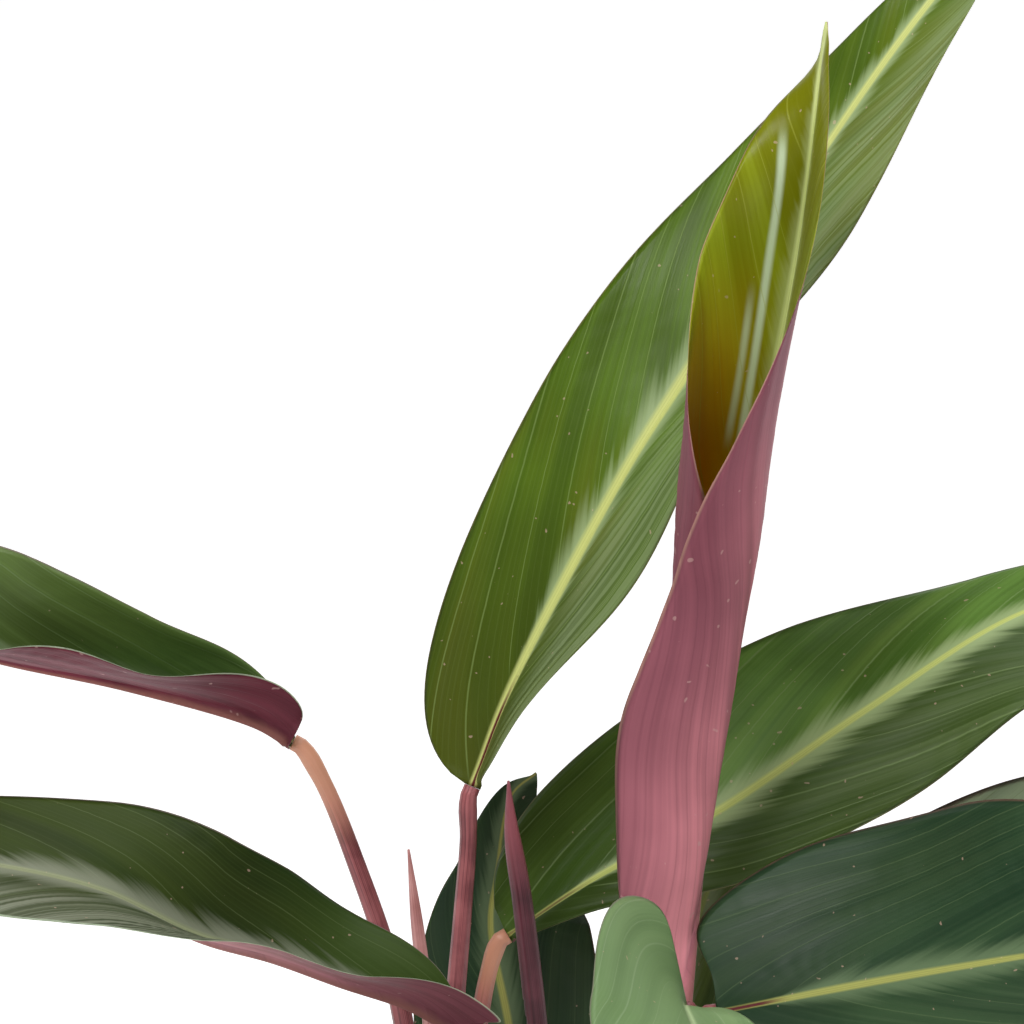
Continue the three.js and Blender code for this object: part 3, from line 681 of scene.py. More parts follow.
    def finish(
        self, colour: object, roughness: object, height: object, depth: float, strength: float,
        gloss: float = 0.5,
    ) -> Material:
        """Feeds the shader.

        Args:
            colour: The base colour.
            roughness: The roughness.
            height: The relief from 0 to 1.
            depth: The relief's depth in metres.
            strength: How far it turns the surface, 0 to 1.
            gloss: The specular level.

        Returns:
            The finished material.
        """
        bump = self.node("ShaderNodeBump")
        for key, value in (("Height", height), ("Distance", depth), ("Strength", strength)):
            self.feed(bump.inputs[key], value)
        for key, value in (("Base Color", colour), ("Roughness", roughness), ("Specular IOR Level", gloss),
                           ("Normal", bump.outputs["Normal"])):
            self.feed(self.shader.inputs[key], value)
        return self.material


@dataclass(frozen=True)
class BladeFinish:
    """What the finishes of a blade's two faces share.

    A pair is the size of a streak across and along the side veins, mm, or the ends of a soft step.

    Attributes:
        leaf: The leaf that wears it.
        vein_pitch: From one side vein to the next, mm along the midrib.
        vein_width: Of a side vein where it leaves the midrib, mm along the midrib.
        vein_spread: How much wider it is for each mm out.
        vein_share: How strongly the side veins show.
        drift: The veins' slow wandering.
        drift_turns: How many pitches they wander.
        band: The soft darker and lighter bands.
        streak: The fine streaks.
        margin: The step across to the margin's line.
        margin_share: How strongly that line shows.
        pale_margin: The step back from the left half's pale margin.
        speck: The tan specks.
        speck_grain: How fine the specks are.
        speck_step: The step from the bare face to a speck.
        speck_share: How strongly the specks show.
        relief: The relief's depth, m.
    """

    leaf: Leaf
    vein_pitch: float = 27.0
    vein_width: float = 0.9
    vein_spread: float = 0.05
    vein_share: float = 0.31
    drift: Pair = (40.0, 400.0)
    drift_turns: float = 1.2
    band: Pair = (26.0, 60.0)
    streak: Pair = (3.4, 40.0)
    margin: Pair = (0.982, 0.997)
    margin_share: float = 0.75
    pale_margin: Pair = (-0.988, -0.955)
    speck: Colour = (0.6, 0.4, 0.3)
    speck_grain: float = 620.0
    speck_step: Pair = (0.83, 0.86)
    speck_share: float = 0.4
    relief: float = 0.0007

    def veins(
        self, graph: Graph, vein: Socket, off: Socket, seed: float, counts: tuple[int, ...],
    ) -> list[Socket]:
        """Thin side veins, which widen towards the margin.

        Args:
            graph: The material's nodes.
            vein: The place across the side veins, mm.
            off: The distance from the midrib, mm.
            seed: Which wandering of all there is.
            counts: How many veins there are to a pitch, for each kind.

        Returns:
            For each kind, 1 on a vein and 0 between.
        """
        wander = graph.total((graph.grain(vein, off, self.drift, seed, 0.0), self.drift_turns))
        spread = graph.math("MULTIPLY_ADD", off, self.vein_spread, 1.0)
        kinds = []
        for count in counts:
            shift = graph.scaled(wander, float(count)) if count > 1 else wander
            kinds.append(graph.lines(vein, self.vein_pitch / count, self.vein_width, shift, spread))
        return kinds

    def trim(self, graph: Graph, skin: Socket, span: Socket) -> Socket:
        """Adds the margin's line, its pale stretch and the specks.

        Args:
            graph: The material's nodes.
            skin: The colour so far.
            span: The place across, -1 to 1.

        Returns:
            The whole colour.
        """
        tone = self.leaf.tone
        edge = graph.rise(graph.math("ABSOLUTE", span), *self.margin)
        skin = graph.mix(graph.scaled(edge, self.margin_share), skin, tone.margin)
        skin = graph.mix(graph.rise(span, *self.pale_margin, tone.pale_edge, 0.0), skin, PALE_MARGIN_AND_HIGHLIGHT)
        speck = graph.rise(graph.noise(graph.position(), self.speck_grain, 0.0), *self.speck_step)
        return graph.mix(graph.scaled(speck, self.speck_share), skin, self.speck)


@dataclass(frozen=True)
class UpperFinish(BladeFinish):
    """The waxy upper face of a leaf: bands along the side veins, pale veins and a bright midrib.

    Attributes:
        fine_veins: How many fine veins there are to each side vein.
        fine_share: How strongly they show.
        spike: The spikes of the feathering beside the midrib.
        tuft: The stretches where they are longer or shorter.
        dust_and_sheen: The streaks of the pale bloom.
        feather_reach: How far the feathering goes, mm.
        rib_share: How strongly the midrib's stripe shows.
        furrow_share: How strongly its fine furrows show.
        red: The dark red line.
        red_reach: Where along the midrib it has faded out.
    """

    fine_veins: int = 5
    fine_share: float = 0.05
    spike: Pair = (3.2, 90.0)
    # dust_and_sheen: The streaks of the pale waxy film and painted sheen.
    tuft: Pair = (13.0, 200.0)
    dust_and_sheen: Pair = (4.6, 60.0)
    feather_reach: float = 6.6
    rib_share: float = 0.94
    furrow_share: float = 0.2
    red: Colour = (0.1, 0.012, 0.018)
    red_reach: float = 0.13

    def make(self) -> Material:
        """Builds the material.

        Returns:
            The material.
        """
        tone = self.leaf.tone
        graph = Graph(f"upper_{self.leaf.name}")
        way, span, off, vein = graph.attributes("way", "span", "off", "vein")
        seed = 7.3 * self.leaf.seed
        band = graph.grain(vein, off, self.band, seed, 1.0)
        streak = graph.grain(vein, off, self.streak, seed + 3.0, 3.0)
        patch = graph.noise(graph.position(), 17.0)

        # The greens, with the olive-brown tint (on the rolled leaf a painted glow and painted shade),
        # painted light and shade round the base, the pale waxy streaks with painted sheen, and the painted
        # highlight stripe
        blend = graph.total((band, 0.6), (streak, 0.22), (patch, 0.7))
        skin = graph.mix(graph.rise(blend, 0.55, 0.98), tone.deep, tone.fresh)
        # On the rolled leaf: a painted amber glow of light shining through the leaf, with painted shade low
        # inside the roll, over the left half and fading out up the midrib
        if tone.glow_until < 1:
            tint_and_glow_mask = graph.scaled(
                graph.rise(way, tone.glow_until - 0.36, tone.glow_until, 1.0, 0.0),
                graph.rise(span, -0.98, -0.8, 0.25, 1.0), graph.rise(span, -0.45, -0.05, 1.0, 0.2),
            )
        else:
            # On the other leaves: an olive-brown tint in random patches
            cloud = graph.total((graph.noise(graph.position(), 11.0, 1.0), 1.0), (band, 0.5))
            tint_and_glow_mask = graph.rise(cloud, 0.66, 0.9)
        skin = graph.mix(graph.scaled(tint_and_glow_mask, tone.tint_and_glow_share), skin, tone.tint_and_glow)
        # Painted light and shade: the base's colour laid round the base, darker or lighter to even out its
        # lighting, and as painted shade over a whole half
        if tone.base_light_and_shade_share:
            skin = graph.mix(graph.rise(way, 0.04, 0.36, tone.base_light_and_shade_share, 0.0), skin, tone.base)
            skin = graph.mix(graph.rise(span, -0.04, 0.04, *tone.half_shade), skin, tone.base)
        # Pale streaks over a half: partly a pale waxy film, partly painted sheen
        skin = graph.mix(self.bloom_and_sheen(graph, span, off, vein), skin, tone.feather)
        # Painted highlight: a pale stripe beside the midrib where a highlight runs down the rolled leaf's
        # hollow
        if tone.highlight_share:
            stripe = self.stripe(graph, way, span, off)
            skin = graph.mix(graph.scaled(stripe, tone.highlight_share), skin, PALE_MARGIN_AND_HIGHLIGHT)

        # The side veins, from a little beside the midrib
        main, fine = self.veins(graph, vein, off, seed, (1, self.fine_veins))
        main = graph.scaled(main, graph.rise(off, 1.0, 5.0), self.vein_share)
        skin = graph.mix(graph.total((main, 1.0), (fine, self.fine_share)), skin, tone.vein)

        # The feathering beside the midrib
        spike = graph.grain(vein, off, self.spike, seed + 9.0, 2.0)
        tuft = graph.rise(graph.grain(vein, off, self.tuft, seed + 5.0, 0.0), 0.35, 0.7, 0.6, 1.6)
        reach = graph.scaled(graph.total((spike, 1.4), (tuft, 0.45)), self.feather_reach)
        reach = graph.scaled(reach, graph.rise(way, 0.02, 0.3), graph.rise(way, 0.5, 1.0, 1.0, 0.35))
        feather = graph.math("DIVIDE", off, graph.math("MAXIMUM", reach, 0.4))
        feather = graph.scaled(graph.rise(feather, 0.15, 1.0, 1.0, 0.0), tone.feathering)
        skin = graph.mix(feather, skin, tone.feather)

        # The midrib's stripe, with fine furrows and the dark red line
        half = graph.scaled(graph.rise(way, 0.0, 0.25, 0.55, 1.0), graph.rise(way, 0.3, 1.0, *tone.rib))
        rib = graph.rise(graph.math("DIVIDE", off, half), 0.4, 1.2, 1.0, 0.0)
        furrow = graph.math("MULTIPLY", rib, graph.lines(off, 0.8, 0.3, 0.1))
        skin = graph.mix(graph.scaled(rib, self.rib_share), skin, tone.midrib)
        skin = graph.mix(graph.scaled(furrow, self.furrow_share), skin, tone.fresh)
        red = graph.scaled(
            graph.rise(off, 0.2, 0.75, 1.0, 0.0),
            graph.rise(way, 0.07, self.red_reach, 1.0, 0.0),
            tone.red_line,
        )
        skin = graph.mix(red, skin, self.red)

        skin = self.trim(graph, skin, span)
        roughness = graph.total((streak, 0.25), (patch, 0.1), base=tone.roughness - 0.17)
        height = graph.total((band, 0.6), (streak, 0.4), (main, -0.3), (furrow, -0.1))
        strength = 0.2 + 0.4 * tone.ruffle
        return graph.finish(skin, roughness, height, depth=self.relief, strength=strength, gloss=tone.gloss)

    def bloom_and_sheen(self, graph: Graph, span: Socket, off: Socket, vein: Socket) -> Socket:
        """The pale waxy film and painted sheen in streaks over a half.

        Args:
            graph: The material's nodes.
            span: The place across, -1 to 1.
            off: The distance from the midrib, mm.
            vein: The place across the side veins, mm.

        Returns:
            The strength, 0 to 1.
        """
        left, right = self.leaf.tone.bloom_and_sheen
        wide = graph.grain(vein, off, self.dust_and_sheen, self.leaf.seed, 2.0)
        share = graph.math("MULTIPLY_ADD", graph.math("GREATER_THAN", span, 0.0), right - left, left)
        wide = graph.rise(wide, 0.34, 0.62, 0.25, 1.0)
        return graph.scaled(wide, share, graph.rise(off, 3.0, 15.0, 0.2, 1.0))

    @staticmethod
    def stripe(graph: Graph, way: Socket, span: Socket, off: Socket) -> Socket:
        """The painted highlight: a pale stripe beside the midrib on the left half, and a short one farther
        out.

        Args:
            graph: The material's nodes.
            way: The place along the midrib, 0 to 1.
            span: The place across, -1 to 1.
            off: The distance from the midrib, mm.

        Returns:
            1 on a stripe and 0 elsewhere.
        """
        middle = graph.rise(way, 0.52, 0.85, 6.4, 8.4)
        whole = graph.rise(graph.apart(off, middle), 0.3, 1.9, 1.0, 0.0)
        whole = graph.scaled(whole, graph.rise(way, 0.86, 0.9, 1.0, 0.0))
        short = graph.rise(graph.apart(graph.math("SUBTRACT", off, middle), 3.9), 0.2, 1.9, 0.8, 0.0)
        short = graph.scaled(short, graph.rise(way, 0.56, 0.6), graph.rise(way, 0.68, 0.74, 1.0, 0.0))
        return graph.scaled(graph.math("MAXIMUM", whole, short), graph.math("LESS_THAN", span, 0.0))


@dataclass(frozen=True)
class UnderFinish(BladeFinish):
    """The wine-coloured underside of a leaf, with fine dark veins that run out to the margin.

    The sizes that it shares with the upper face have values of their own here.

    Attributes:
        tints: How many times the tone's brightness the darker and the lighter shade have.
        keel: The raised midrib.
        keel_share: How strongly it shows.
        dimming: How far the painted shade darkens the underside where its tone says so.
    """

    vein_pitch: float = 13.5
    vein_width: float = 1.2
    vein_share: float = 0.13
    drift: Pair = (30.0, 400.0)
    drift_turns: float = 1.6
    band: Pair = (22.0, 90.0)
    streak: Pair = (4.0, 30.0)
    margin: Pair = (0.975, 0.995)
    pale_margin: Pair = (-0.992, -0.968)
    speck: Colour = (0.6, 0.4, 0.36)
    speck_grain: float = 420.0
    speck_step: Pair = (0.8, 0.84)
    relief: float = 0.0006
    tints: Pair = (0.78, 1.25)
    keel: Colour = (0.3, 0.13, 0.1)
    keel_share: float = 0.6
    dimming: float = 0.7

    def make(self) -> Material:
        """Builds the material.

        Returns:
            The material.
        """
        tone = self.leaf.tone
        graph = Graph(f"under_{self.leaf.name}")
        way, span, off, vein = graph.attributes("way", "span", "off", "vein")
        seed = 3.1 * self.leaf.seed
        band = graph.grain(vein, off, self.band, seed, 1.0)
        streak = graph.grain(vein, off, self.streak, seed + 2.0, 3.0)
        patch = graph.noise(graph.position(), 24.0, 3.0)
        light = graph.rise(graph.total((band, 0.7), (streak, 0.3), (patch, 0.6)), 0.62, 0.98)
        shades = []
        for strength in self.tints:
            wine, blush = (
                tuple(min(1.0, part * strength) for part in tint) for tint in (tone.under, tone.blush)
            )
            shades.append(graph.mix(graph.rise(way, 0.0, 0.45, 1.0, 0.0), wine, blush))
        wine = graph.mix(light, *shades)
        # Painted shade: the underside darker towards the right margin, and from a little right of the
        # midrib across the left half
        if tone.shade:
            dim = self.dimming * tone.shade
            wine = graph.mix(graph.rise(span, 0.25, 0.95, 0.0, dim), wine, tone.under_vein_and_shade)
            wine = graph.mix(graph.rise(span, 0.0, 0.3, dim, 0.0), wine, tone.under_vein_and_shade)

        # The dark veins and the raised midrib
        line, = self.veins(graph, vein, off, seed, (1,))
        wine = graph.mix(graph.scaled(line, self.vein_share), wine, tone.under_vein_and_shade)
        half = graph.rise(way, 0.0, 1.0, 2.6, 0.5)
        rib = graph.rise(graph.math("DIVIDE", off, half), 0.6, 1.1, 1.0, 0.0)
        wine = self.trim(graph, graph.mix(graph.scaled(rib, self.keel_share), wine, self.keel), span)

        roughness = graph.total((streak, 0.15), base=0.42)
        height = graph.total((band, 0.4), (streak, 0.5), (line, -0.4))
        return graph.finish(
            wine, roughness, height, depth=self.relief, strength=0.22, gloss=tone.under_gloss,
        )


@dataclass(frozen=True)
class StemFinish:
    """A leaf stalk: wine-pink with fine lengthwise streaks.

    Attributes:
        name: The material's name.
        red: The darker streaks.
        pink: The lighter streaks.
        top: The short swollen stretch below the blade.
        top_share: How strongly that stretch takes its own colour.
        foot: The stretch above the soil.
        streak: Size of a streak round the stalk and along it, mm.
    """

    name: str = "stem_pink"
    red: Colour = (0.12, 0.024, 0.03)
    pink: Colour = (0.4, 0.125, 0.13)
    top: Colour = (0.64, 0.31, 0.19)
    top_share: float = 0.0
    foot: Colour = (0.2, 0.14, 0.06)
    streak: Pair = (0.2, 80.0)

    def make(self) -> Material:
        """Builds the material.

        Returns:
            The material.
        """
        graph = Graph(self.name)
        turn, way, run = graph.attributes("turn", "way", "run")
        streak = graph.grain(turn, run, self.streak, 0.0, 3.0)
        blotch = graph.noise(graph.position(), 90.0, 3.0)
        shade = graph.total((streak, 0.8), (blotch, 0.5))
        skin = graph.mix(graph.rise(shade, 0.45, 0.85), self.red, self.pink)
        skin = graph.mix(graph.rise(way, 0.0, 0.45, 0.75, 0.0), skin, self.foot)
        skin = graph.mix(graph.rise(way, 0.83, 0.95, 0.0, self.top_share), skin, self.top)
        roughness = graph.total((streak, 0.2), base=0.24)
        return graph.finish(skin, roughness, height=streak, depth=0.0004, strength=0.5, gloss=0.35)


@dataclass(frozen=True)
class SoilFinish:
    """Dark, damp potting mix, between two shades."""

    name: str = "potting_mix"
    dark: Colour = (0.018, 0.011, 0.007)
    light: Colour = (0.085, 0.052, 0.03)

    def make(self) -> Material:
        """Builds the material.

        Returns:
            The material.
        """
        graph = Graph(self.name)
        place = graph.position()
        grain, clump = graph.noise(place, 420.0, 6.0), graph.noise(place, 90.0, 4.0)
        shade = graph.math("ADD", graph.math("MULTIPLY", grain, 0.7), graph.math("MULTIPLY", clump, 0.6))
        earth = graph.mix(graph.rise(shade, 0.45, 0.85), self.dark, self.light)
        return graph.finish(earth, 0.92, height=shade, depth=0.0016, strength=0.9, gloss=0.25)


@dataclass(frozen=True)
class GritFinish:
    """The pale light grains among the potting mix, between two shades."""

    name: str = "pale_grit"
    dark: Colour = (0.42, 0.39, 0.34)
    light: Colour = (0.72, 0.7, 0.66)

    def make(self) -> Material:
        """Builds the material.

        Returns:
            The material.
        """
        graph = Graph(self.name)
        grain = graph.noise(graph.position(), 900.0, 4.0)
        stone = graph.mix(graph.rise(grain, 0.3, 0.7), self.dark, self.light)
        return graph.finish(stone, 0.9, height=grain, depth=0.0004, strength=0.6)


@dataclass(frozen=True)
class PotFinish:
    """Matt moulded plastic with a fine grain, smears, and a little dust near the ground.

    Attributes:
        name: The material's name.
        dark: The plastic.
        light: The plastic where it is smeared.
        dust_and_sheen: The dust.
        dust_reach: How high the dust goes, m.
    """

    name: str = "pot_plastic"
    dark: Colour = (0.035, 0.037, 0.04)
    light: Colour = (0.06, 0.062, 0.066)
    dust_and_sheen: Colour = (0.16, 0.13, 0.1)
    dust_reach: float = 0.05

    def make(self) -> Material:
        """Builds the material.

        Returns:
            The material.
        """
        graph = Graph(self.name)
        place = graph.position()
        grain, smear = graph.noise(place, 1600.0), graph.noise(place, 22.0, 4.0)
        skin = graph.mix(graph.rise(smear, 0.35, 0.75), self.dark, self.light)
        level = graph.node("ShaderNodeSeparateXYZ", place).outputs["Z"]
        dust_and_sheen = graph.math("MULTIPLY", graph.rise(level, 0.0, self.dust_reach, 0.35, 0.0), smear)
        skin = graph.mix(dust_and_sheen, skin, self.dust_and_sheen)
        roughness = graph.math("MULTIPLY_ADD", smear, 0.25, 0.42)
        return graph.finish(skin, roughness, height=grain, depth=0.0002, strength=0.35)


@dataclass
class Blade:
    """A leaf blade as one closed skin: upper face, thin edge, underside and the midrib's keel.

    Attributes:
        leaf: Its form and colours.
        rows: Steps along the midrib.
        row_crowding: The power that brings them closer towards the base.
        half_columns: Steps across a half.
        column_crowding: The power that brings them closer towards the midrib.
        thickness: Of the blade, mm.
        keel_depth: Depth of the rounded midrib underneath, mm.
        keel_half: Its half width, mm.
        groove_depth: Depth of the channel over the midrib, mm.
        base_half: Least half width at the base, mm.
        tip_half: Least half width at the tip, mm.
        heel_station: Where along the midrib the base lobes sweep back most.
        fade_in: Where from the base fold and curl are full.
        fade_out: Where from the tip fold and curl are full.
        pleat_pitch: From one pleat to the next, mm.
        unevenness: Height of the blade's slow unevenness, mm.
        vein_lean: How far the side veins run towards the tip for each mm out.
        vein_bend: How much more they do so at the margin.
        half_shift: What sets the right half's veins off from the left half's, mm.
        wave_lead: How far the right margin's ripple is ahead of the left one's, in ripples.
        least_curl: The least bend of a half, radians.
        flare_half: The half width from which on the thickness stands square to the blade, mm.
        path: The midrib's course.
    """

    leaf: Leaf
    rows: int = 116
    row_crowding: float = 1.15
    half_columns: int = 24
    column_crowding: float = 1.45
    thickness: float = 0.46
    keel_depth: float = 2.3
    keel_half: float = 2.3
    groove_depth: float = 0.35
    base_half: float = 2.4
    tip_half: float = 0.4
    heel_station: float = 0.05
    fade_in: float = 0.012
    fade_out: float = 0.04
    pleat_pitch: float = 10.0
    unevenness: float = 0.55
    vein_lean: float = 1.7
    vein_bend: float = 1.7
    half_shift: float = 31.0
    wave_lead: float = 0.37
    least_curl: float = 1e-3
    flare_half: float = 12.0
    path: Path = field(init=False)

    def __post_init__(self) -> None:
        """Measures the midrib."""
        self.path = Path(self.leaf.midrib)

    def build(self) -> Piece:
        """Makes the blade's piece and puts it in its node's place.

        Returns:
            The piece.
        """
        share = (np.arange(self.rows + 1) / self.rows) ** self.row_crowding
        ladder = np.linspace(-1, 1, 2 * self.half_columns + 1)
        across = np.sign(ladder) * np.abs(ladder) ** self.column_crowding
        ring = np.concatenate([across, across[-2::-1]])
        under = np.concatenate([np.zeros(len(across)), np.ones(len(across) - 1)])
        made = closed_skin(*self.skin(share, ring, under), far_side=2 * self.half_columns)
        finishes = (UpperFinish(self.leaf).make(), UnderFinish(self.leaf).make())
        piece = piece_from(made, f"leaf_{self.leaf.name}", finishes)
        stand_in_for(piece, f"blade_{self.leaf.name}")
        return piece

    def skin(self, share: np.ndarray, ring: np.ndarray, under: np.ndarray) -> tuple[np.ndarray, dict]:
        """The closed skin's points.

        Args:
            share: Places along the midrib, base to tip.
            ring: Places across, out to the right margin and back under to the left one.
            under: 0 where the ring is on the upper face and 1 on the underside.

        Returns:
            The points in metres and the numbers that the finishes read, by row and column.
        """
        leaf = self.leaf
        shape = (len(share), len(ring))
        u = np.repeat(share, len(ring))
        v, below = np.tile(ring, len(share)), np.tile(under, len(share))
        right = v > 0
        sign = np.where(right, 1.0, -1.0)
        t = np.abs(v)
        along = self.path.along(u)
        face = course(leaf.face, u, Speed.UNIFORM)
        face = unit(face - (face * along).sum(1, keepdims=True) * along)
        cross = np.cross(along, face)

        # Each half lies on a bow that starts at the fold and turns on by the curl
        fade = ease(u, 0, self.fade_in) * ease(1 - u, 0, self.fade_out)
        fold, curl = (np.radians(np.where(right, stations(pair[1], u), stations(pair[0], u))) * fade
                      for pair in (leaf.fold, leaf.curl))
        curl = np.where(np.abs(curl) < self.least_curl, self.least_curl, curl)
        widths = [half * self.profile(u, power) for half, power in zip(leaf.half, leaf.profile)]
        width = np.where(right, widths[1], widths[0])
        width = np.maximum(width, np.minimum(self.base_half, self.base_half * (1 - u) + self.tip_half))
        turn = fold + curl * t
        out = width * (np.sin(turn) - np.sin(fold)) / curl
        up = width * (np.cos(fold) - np.cos(turn)) / curl
        offset = (sign * out)[:, None] * cross + up[:, None] * face
        offset[:, 1] *= stations(leaf.flat, u)
        back = (u / self.heel_station * np.exp(1 - u / self.heel_station)) ** 2 * t**2
        offset -= along * (np.where(right, leaf.heel[1], leaf.heel[0]) * back)[:, None]
        looks = (-sign * np.sin(turn))[:, None] * cross + np.cos(turn)[:, None] * face

        # The ripple of the margin and the relief
        left_wave, right_wave, count, start = leaf.wave
        ripple = np.sin(2 * np.pi * (count * u + start + self.wave_lead * right)) * t**2 * np.sin(np.pi * u)
        lift = np.where(right, right_wave, left_wave) * ripple
        off = width * t
        vein = u * self.path.length - self.vein_lean * off - self.vein_bend * off**2 / max(leaf.half)
        lift += self.relief(vein, off, t, u)
        offset += looks * lift[:, None]

        # Thickness, keel and channel
        flare = np.minimum(1, width / self.flare_half)[:, None]
        normal = unit(face * (1 - flare) + looks * flare)
        rim = np.sqrt(np.clip(1 - t**8, 0, 1))
        upper_height = self.thickness / 2 - self.groove(off, u)
        under_height = self.thickness / 2 + self.keel(off, u)
        height = np.where(below > 0, -under_height, upper_height) * rim
        points = (self.path.at(u) + offset + normal * height[:, None]) * MM
        facts = {"way": u, "span": v, "off": off, "vein": vein + np.where(right, self.half_shift, 0.0)}
        return points.reshape(*shape, 3), {key: value.reshape(shape) for key, value in facts.items()}

    @staticmethod
    def profile(u: np.ndarray, power: Pair) -> np.ndarray:
        """The width along the blade.

        Args:
            u: Places along the midrib, 0 to 1.
            power: How fast the width rises from the base and from the tip.

        Returns:
            The widths, 1 at the widest place.
        """
        rise, fall = power
        widest = rise / (rise + fall)
        return u**rise * (1 - u) ** fall / (widest**rise * (1 - widest) ** fall)

    def relief(self, vein: np.ndarray, off: np.ndarray, t: np.ndarray, u: np.ndarray) -> np.ndarray:
        """Fine pleats along the side veins and a slow unevenness of the blade.

        Args:
            vein: Places across the side veins, mm.
            off: Distances from the midrib, mm.
            t: Places out to the margin, 0 to 1.
            u: Places along the midrib, 0 to 1.

        Returns:
            Heights, mm.
        """
        phase = self.leaf.seed
        strength = ease(off, 1.5, 7) * (1 - ease(t, 0.85, 1)) * ease(u, 0.02, 0.1) * (1 - ease(u, 0.85, 1))
        bend = 0.35 * np.sin(vein * 0.05 + phase)
        pleat = np.sin(2 * np.pi * (vein / self.pleat_pitch + bend))
        fine = 0.45 * np.sin(2 * np.pi * (vein / (0.37 * self.pleat_pitch) + phase))
        slow = np.sin(0.09 * vein + 2.1 * phase) * np.sin(0.16 * off + phase) * t
        return strength * (self.leaf.pleat * (pleat + fine) + self.unevenness * slow)

    def keel(self, off: np.ndarray, u: np.ndarray) -> np.ndarray:
        """The rounded midrib under the blade.

        Args:
            off: Distances from the midrib, mm.
            u: Places along the midrib, 0 to 1.

        Returns:
            Depths, mm.
        """
        depth = self.keel_depth * (1 - u) ** 1.1 + 0.12
        half = self.keel_half * (1 - u) ** 0.8 + 0.35
        return depth * np.sqrt(np.clip(1 - (off / half) ** 2, 0, 1))

    def groove(self, off: np.ndarray, u: np.ndarray) -> np.ndarray:
        """Depth of the shallow channel over the midrib, in mm."""
        half = 1.5 * (1 - u) + 0.4
        return self.groove_depth * (1 - u) * np.exp(-((off / half) ** 2)) * ease(u, 0, 0.03)


@dataclass
class Rod:
    """A stem or a rolled-up young leaf: a ridged round rod along a path.

    Attributes:
        name: The piece's name.
        node: The node that it replaces.
        slot: The record's material slot; not used.
        path: Its middle line.
        radius: The radius at shares of its length, mm.
        material: Its finish.
        ridges: How many ridges it has round it.
        ridge_height: Their height as a share of the radius.
        wrap: How many times the lap of a rolled leaf turns round it.
        lap: The lap's step as a share of the radius.
        sides: Steps round it.
        step: Length of a step along it, mm.
        least_rows: The fewest steps along it.
    """

    name: str
    node: str
    slot: str
    path: Path
    radius: Callable[[np.ndarray], np.ndarray]
    material: Material
    ridges: int = 9
    ridge_height: float = 0.035
    wrap: float = 0.0
    lap: float = 0.16
    sides: int = 36
    step: float = 2.5
    least_rows: int = 24

    def build(self) -> Piece:
        """Makes the rod's piece and puts it in its node's place.

        Returns:
            The piece.
        """
        rows = max(self.least_rows, round(self.path.length / self.step))
        share = np.linspace(0, 1, rows + 1)
        turn = np.linspace(0, 2 * np.pi, self.sides + 1)
        ridge = 1 + self.ridge_height * np.cos(self.ridges * turn)[None, :]
        spiral = (turn[None, :] / (2 * np.pi) + self.wrap * share[:, None]) % 1.0
        lap = 1 - (self.lap if self.wrap else 0.0) * spiral
        points = self.skin(share, turn, self.radius(share)[:, None] * ridge * lap)
        level = np.ones_like(points[:, :, 0])
        streak = 1.5 * np.abs(np.sin(turn * 1.5)) + 0.4 * np.cos(turn)
        facts = {"turn": level * streak, "way": level * share[:, None]}
        facts["run"] = facts["way"] * self.path.length
        piece = piece_from(closed_skin(points, facts), self.name, (self.material,))
        stand_in_for(piece, self.node)
        return piece

    def skin(self, share: np.ndarray, turn: np.ndarray, radius: np.ndarray) -> np.ndarray:
        """The rod's points.

        Args:
            share: Shares of its length.
            turn: Turns round it, in radians.
            radius: Radii by share and turn, mm.

        Returns:
            The points in metres by share and turn.
        """
        along = self.path.along(share)
        side = unit(np.cross(along[0], (0.0, 1.0, 0.0)))
        sides = []
        for direction in along:
            side = unit(side - direction * (side @ direction))
            sides.append(side)
        first = np.array(sides)
        second = np.cross(along, first)
        cosine, sine = np.cos(turn)[None, :, None], np.sin(turn)[None, :, None]
        spread = first[:, None] * cosine + second[:, None] * sine
        points = (self.path.at(share)[:, None] + spread * radius[:, :, None]) * MM
        points[:, -1] = points[:, 0]
        return points


@dataclass
class Stems:
    """The leaf stalks, each from its hole in the soil to its blade's base.

    Attributes:
        depth: How deep a stalk goes into the soil, mm.
        root_radius: Its radius at the root, mm.
        top_radius: Its radius at the blade, mm.
        swelling: How much it swells just below the blade, mm.
        joint_reach: How far it runs in line with the midrib, mm.
        joint_gap: From its end to the blade's base, mm.
        tan_tops: The leaves whose stalks have a tan top.
    """

    depth: float = 18.0
    root_radius: float = 4.1
    top_radius: float = 2.3
    swelling: float = 0.3
    joint_reach: float = 3.0
    joint_gap: float = 0.1
    tan_tops: tuple[str, ...] = ("upper_left", "right")

    def path(self, leaf: Leaf) -> Path:
        """A stem's course, which meets the blade in line with the midrib.

        Args:
            leaf: The leaf that it carries.

        Returns:
            The course from below the soil's top to the blade's base.
        """
        midrib = Path(leaf.midrib)
        base, along = midrib.at(np.zeros(1))[0], midrib.along(np.zeros(1))[0]
        joint, end = (tuple(base - along * reach) for reach in (self.joint_reach, self.joint_gap))
        return Path(((*leaf.root, SOIL_LEVEL - self.depth), *leaf.stem, joint, end))

    def radius(self, share: np.ndarray) -> np.ndarray:
        """The radius along a stem, a little swollen just below the blade."""
        swell = self.swelling * np.exp(-(((share - 0.965) / 0.02) ** 2))
        return self.root_radius + (self.top_radius - self.root_radius) * share**0.8 + swell

    def build(self, leaves: Sequence[Leaf]) -> None:
        """Makes every stem.

        Args:
            leaves: The leaves that they carry.
        """
        pink = StemFinish().make()
        tan = StemFinish(name="stem_tan_top", top_share=0.85).make()
        for leaf in leaves:
            dress = tan if leaf.name in self.tan_tops else pink
            names = (f"stalk_{leaf.name}", f"stem_{leaf.name}", "stem")
            Rod(*names, self.path(leaf), self.radius, dress).build()


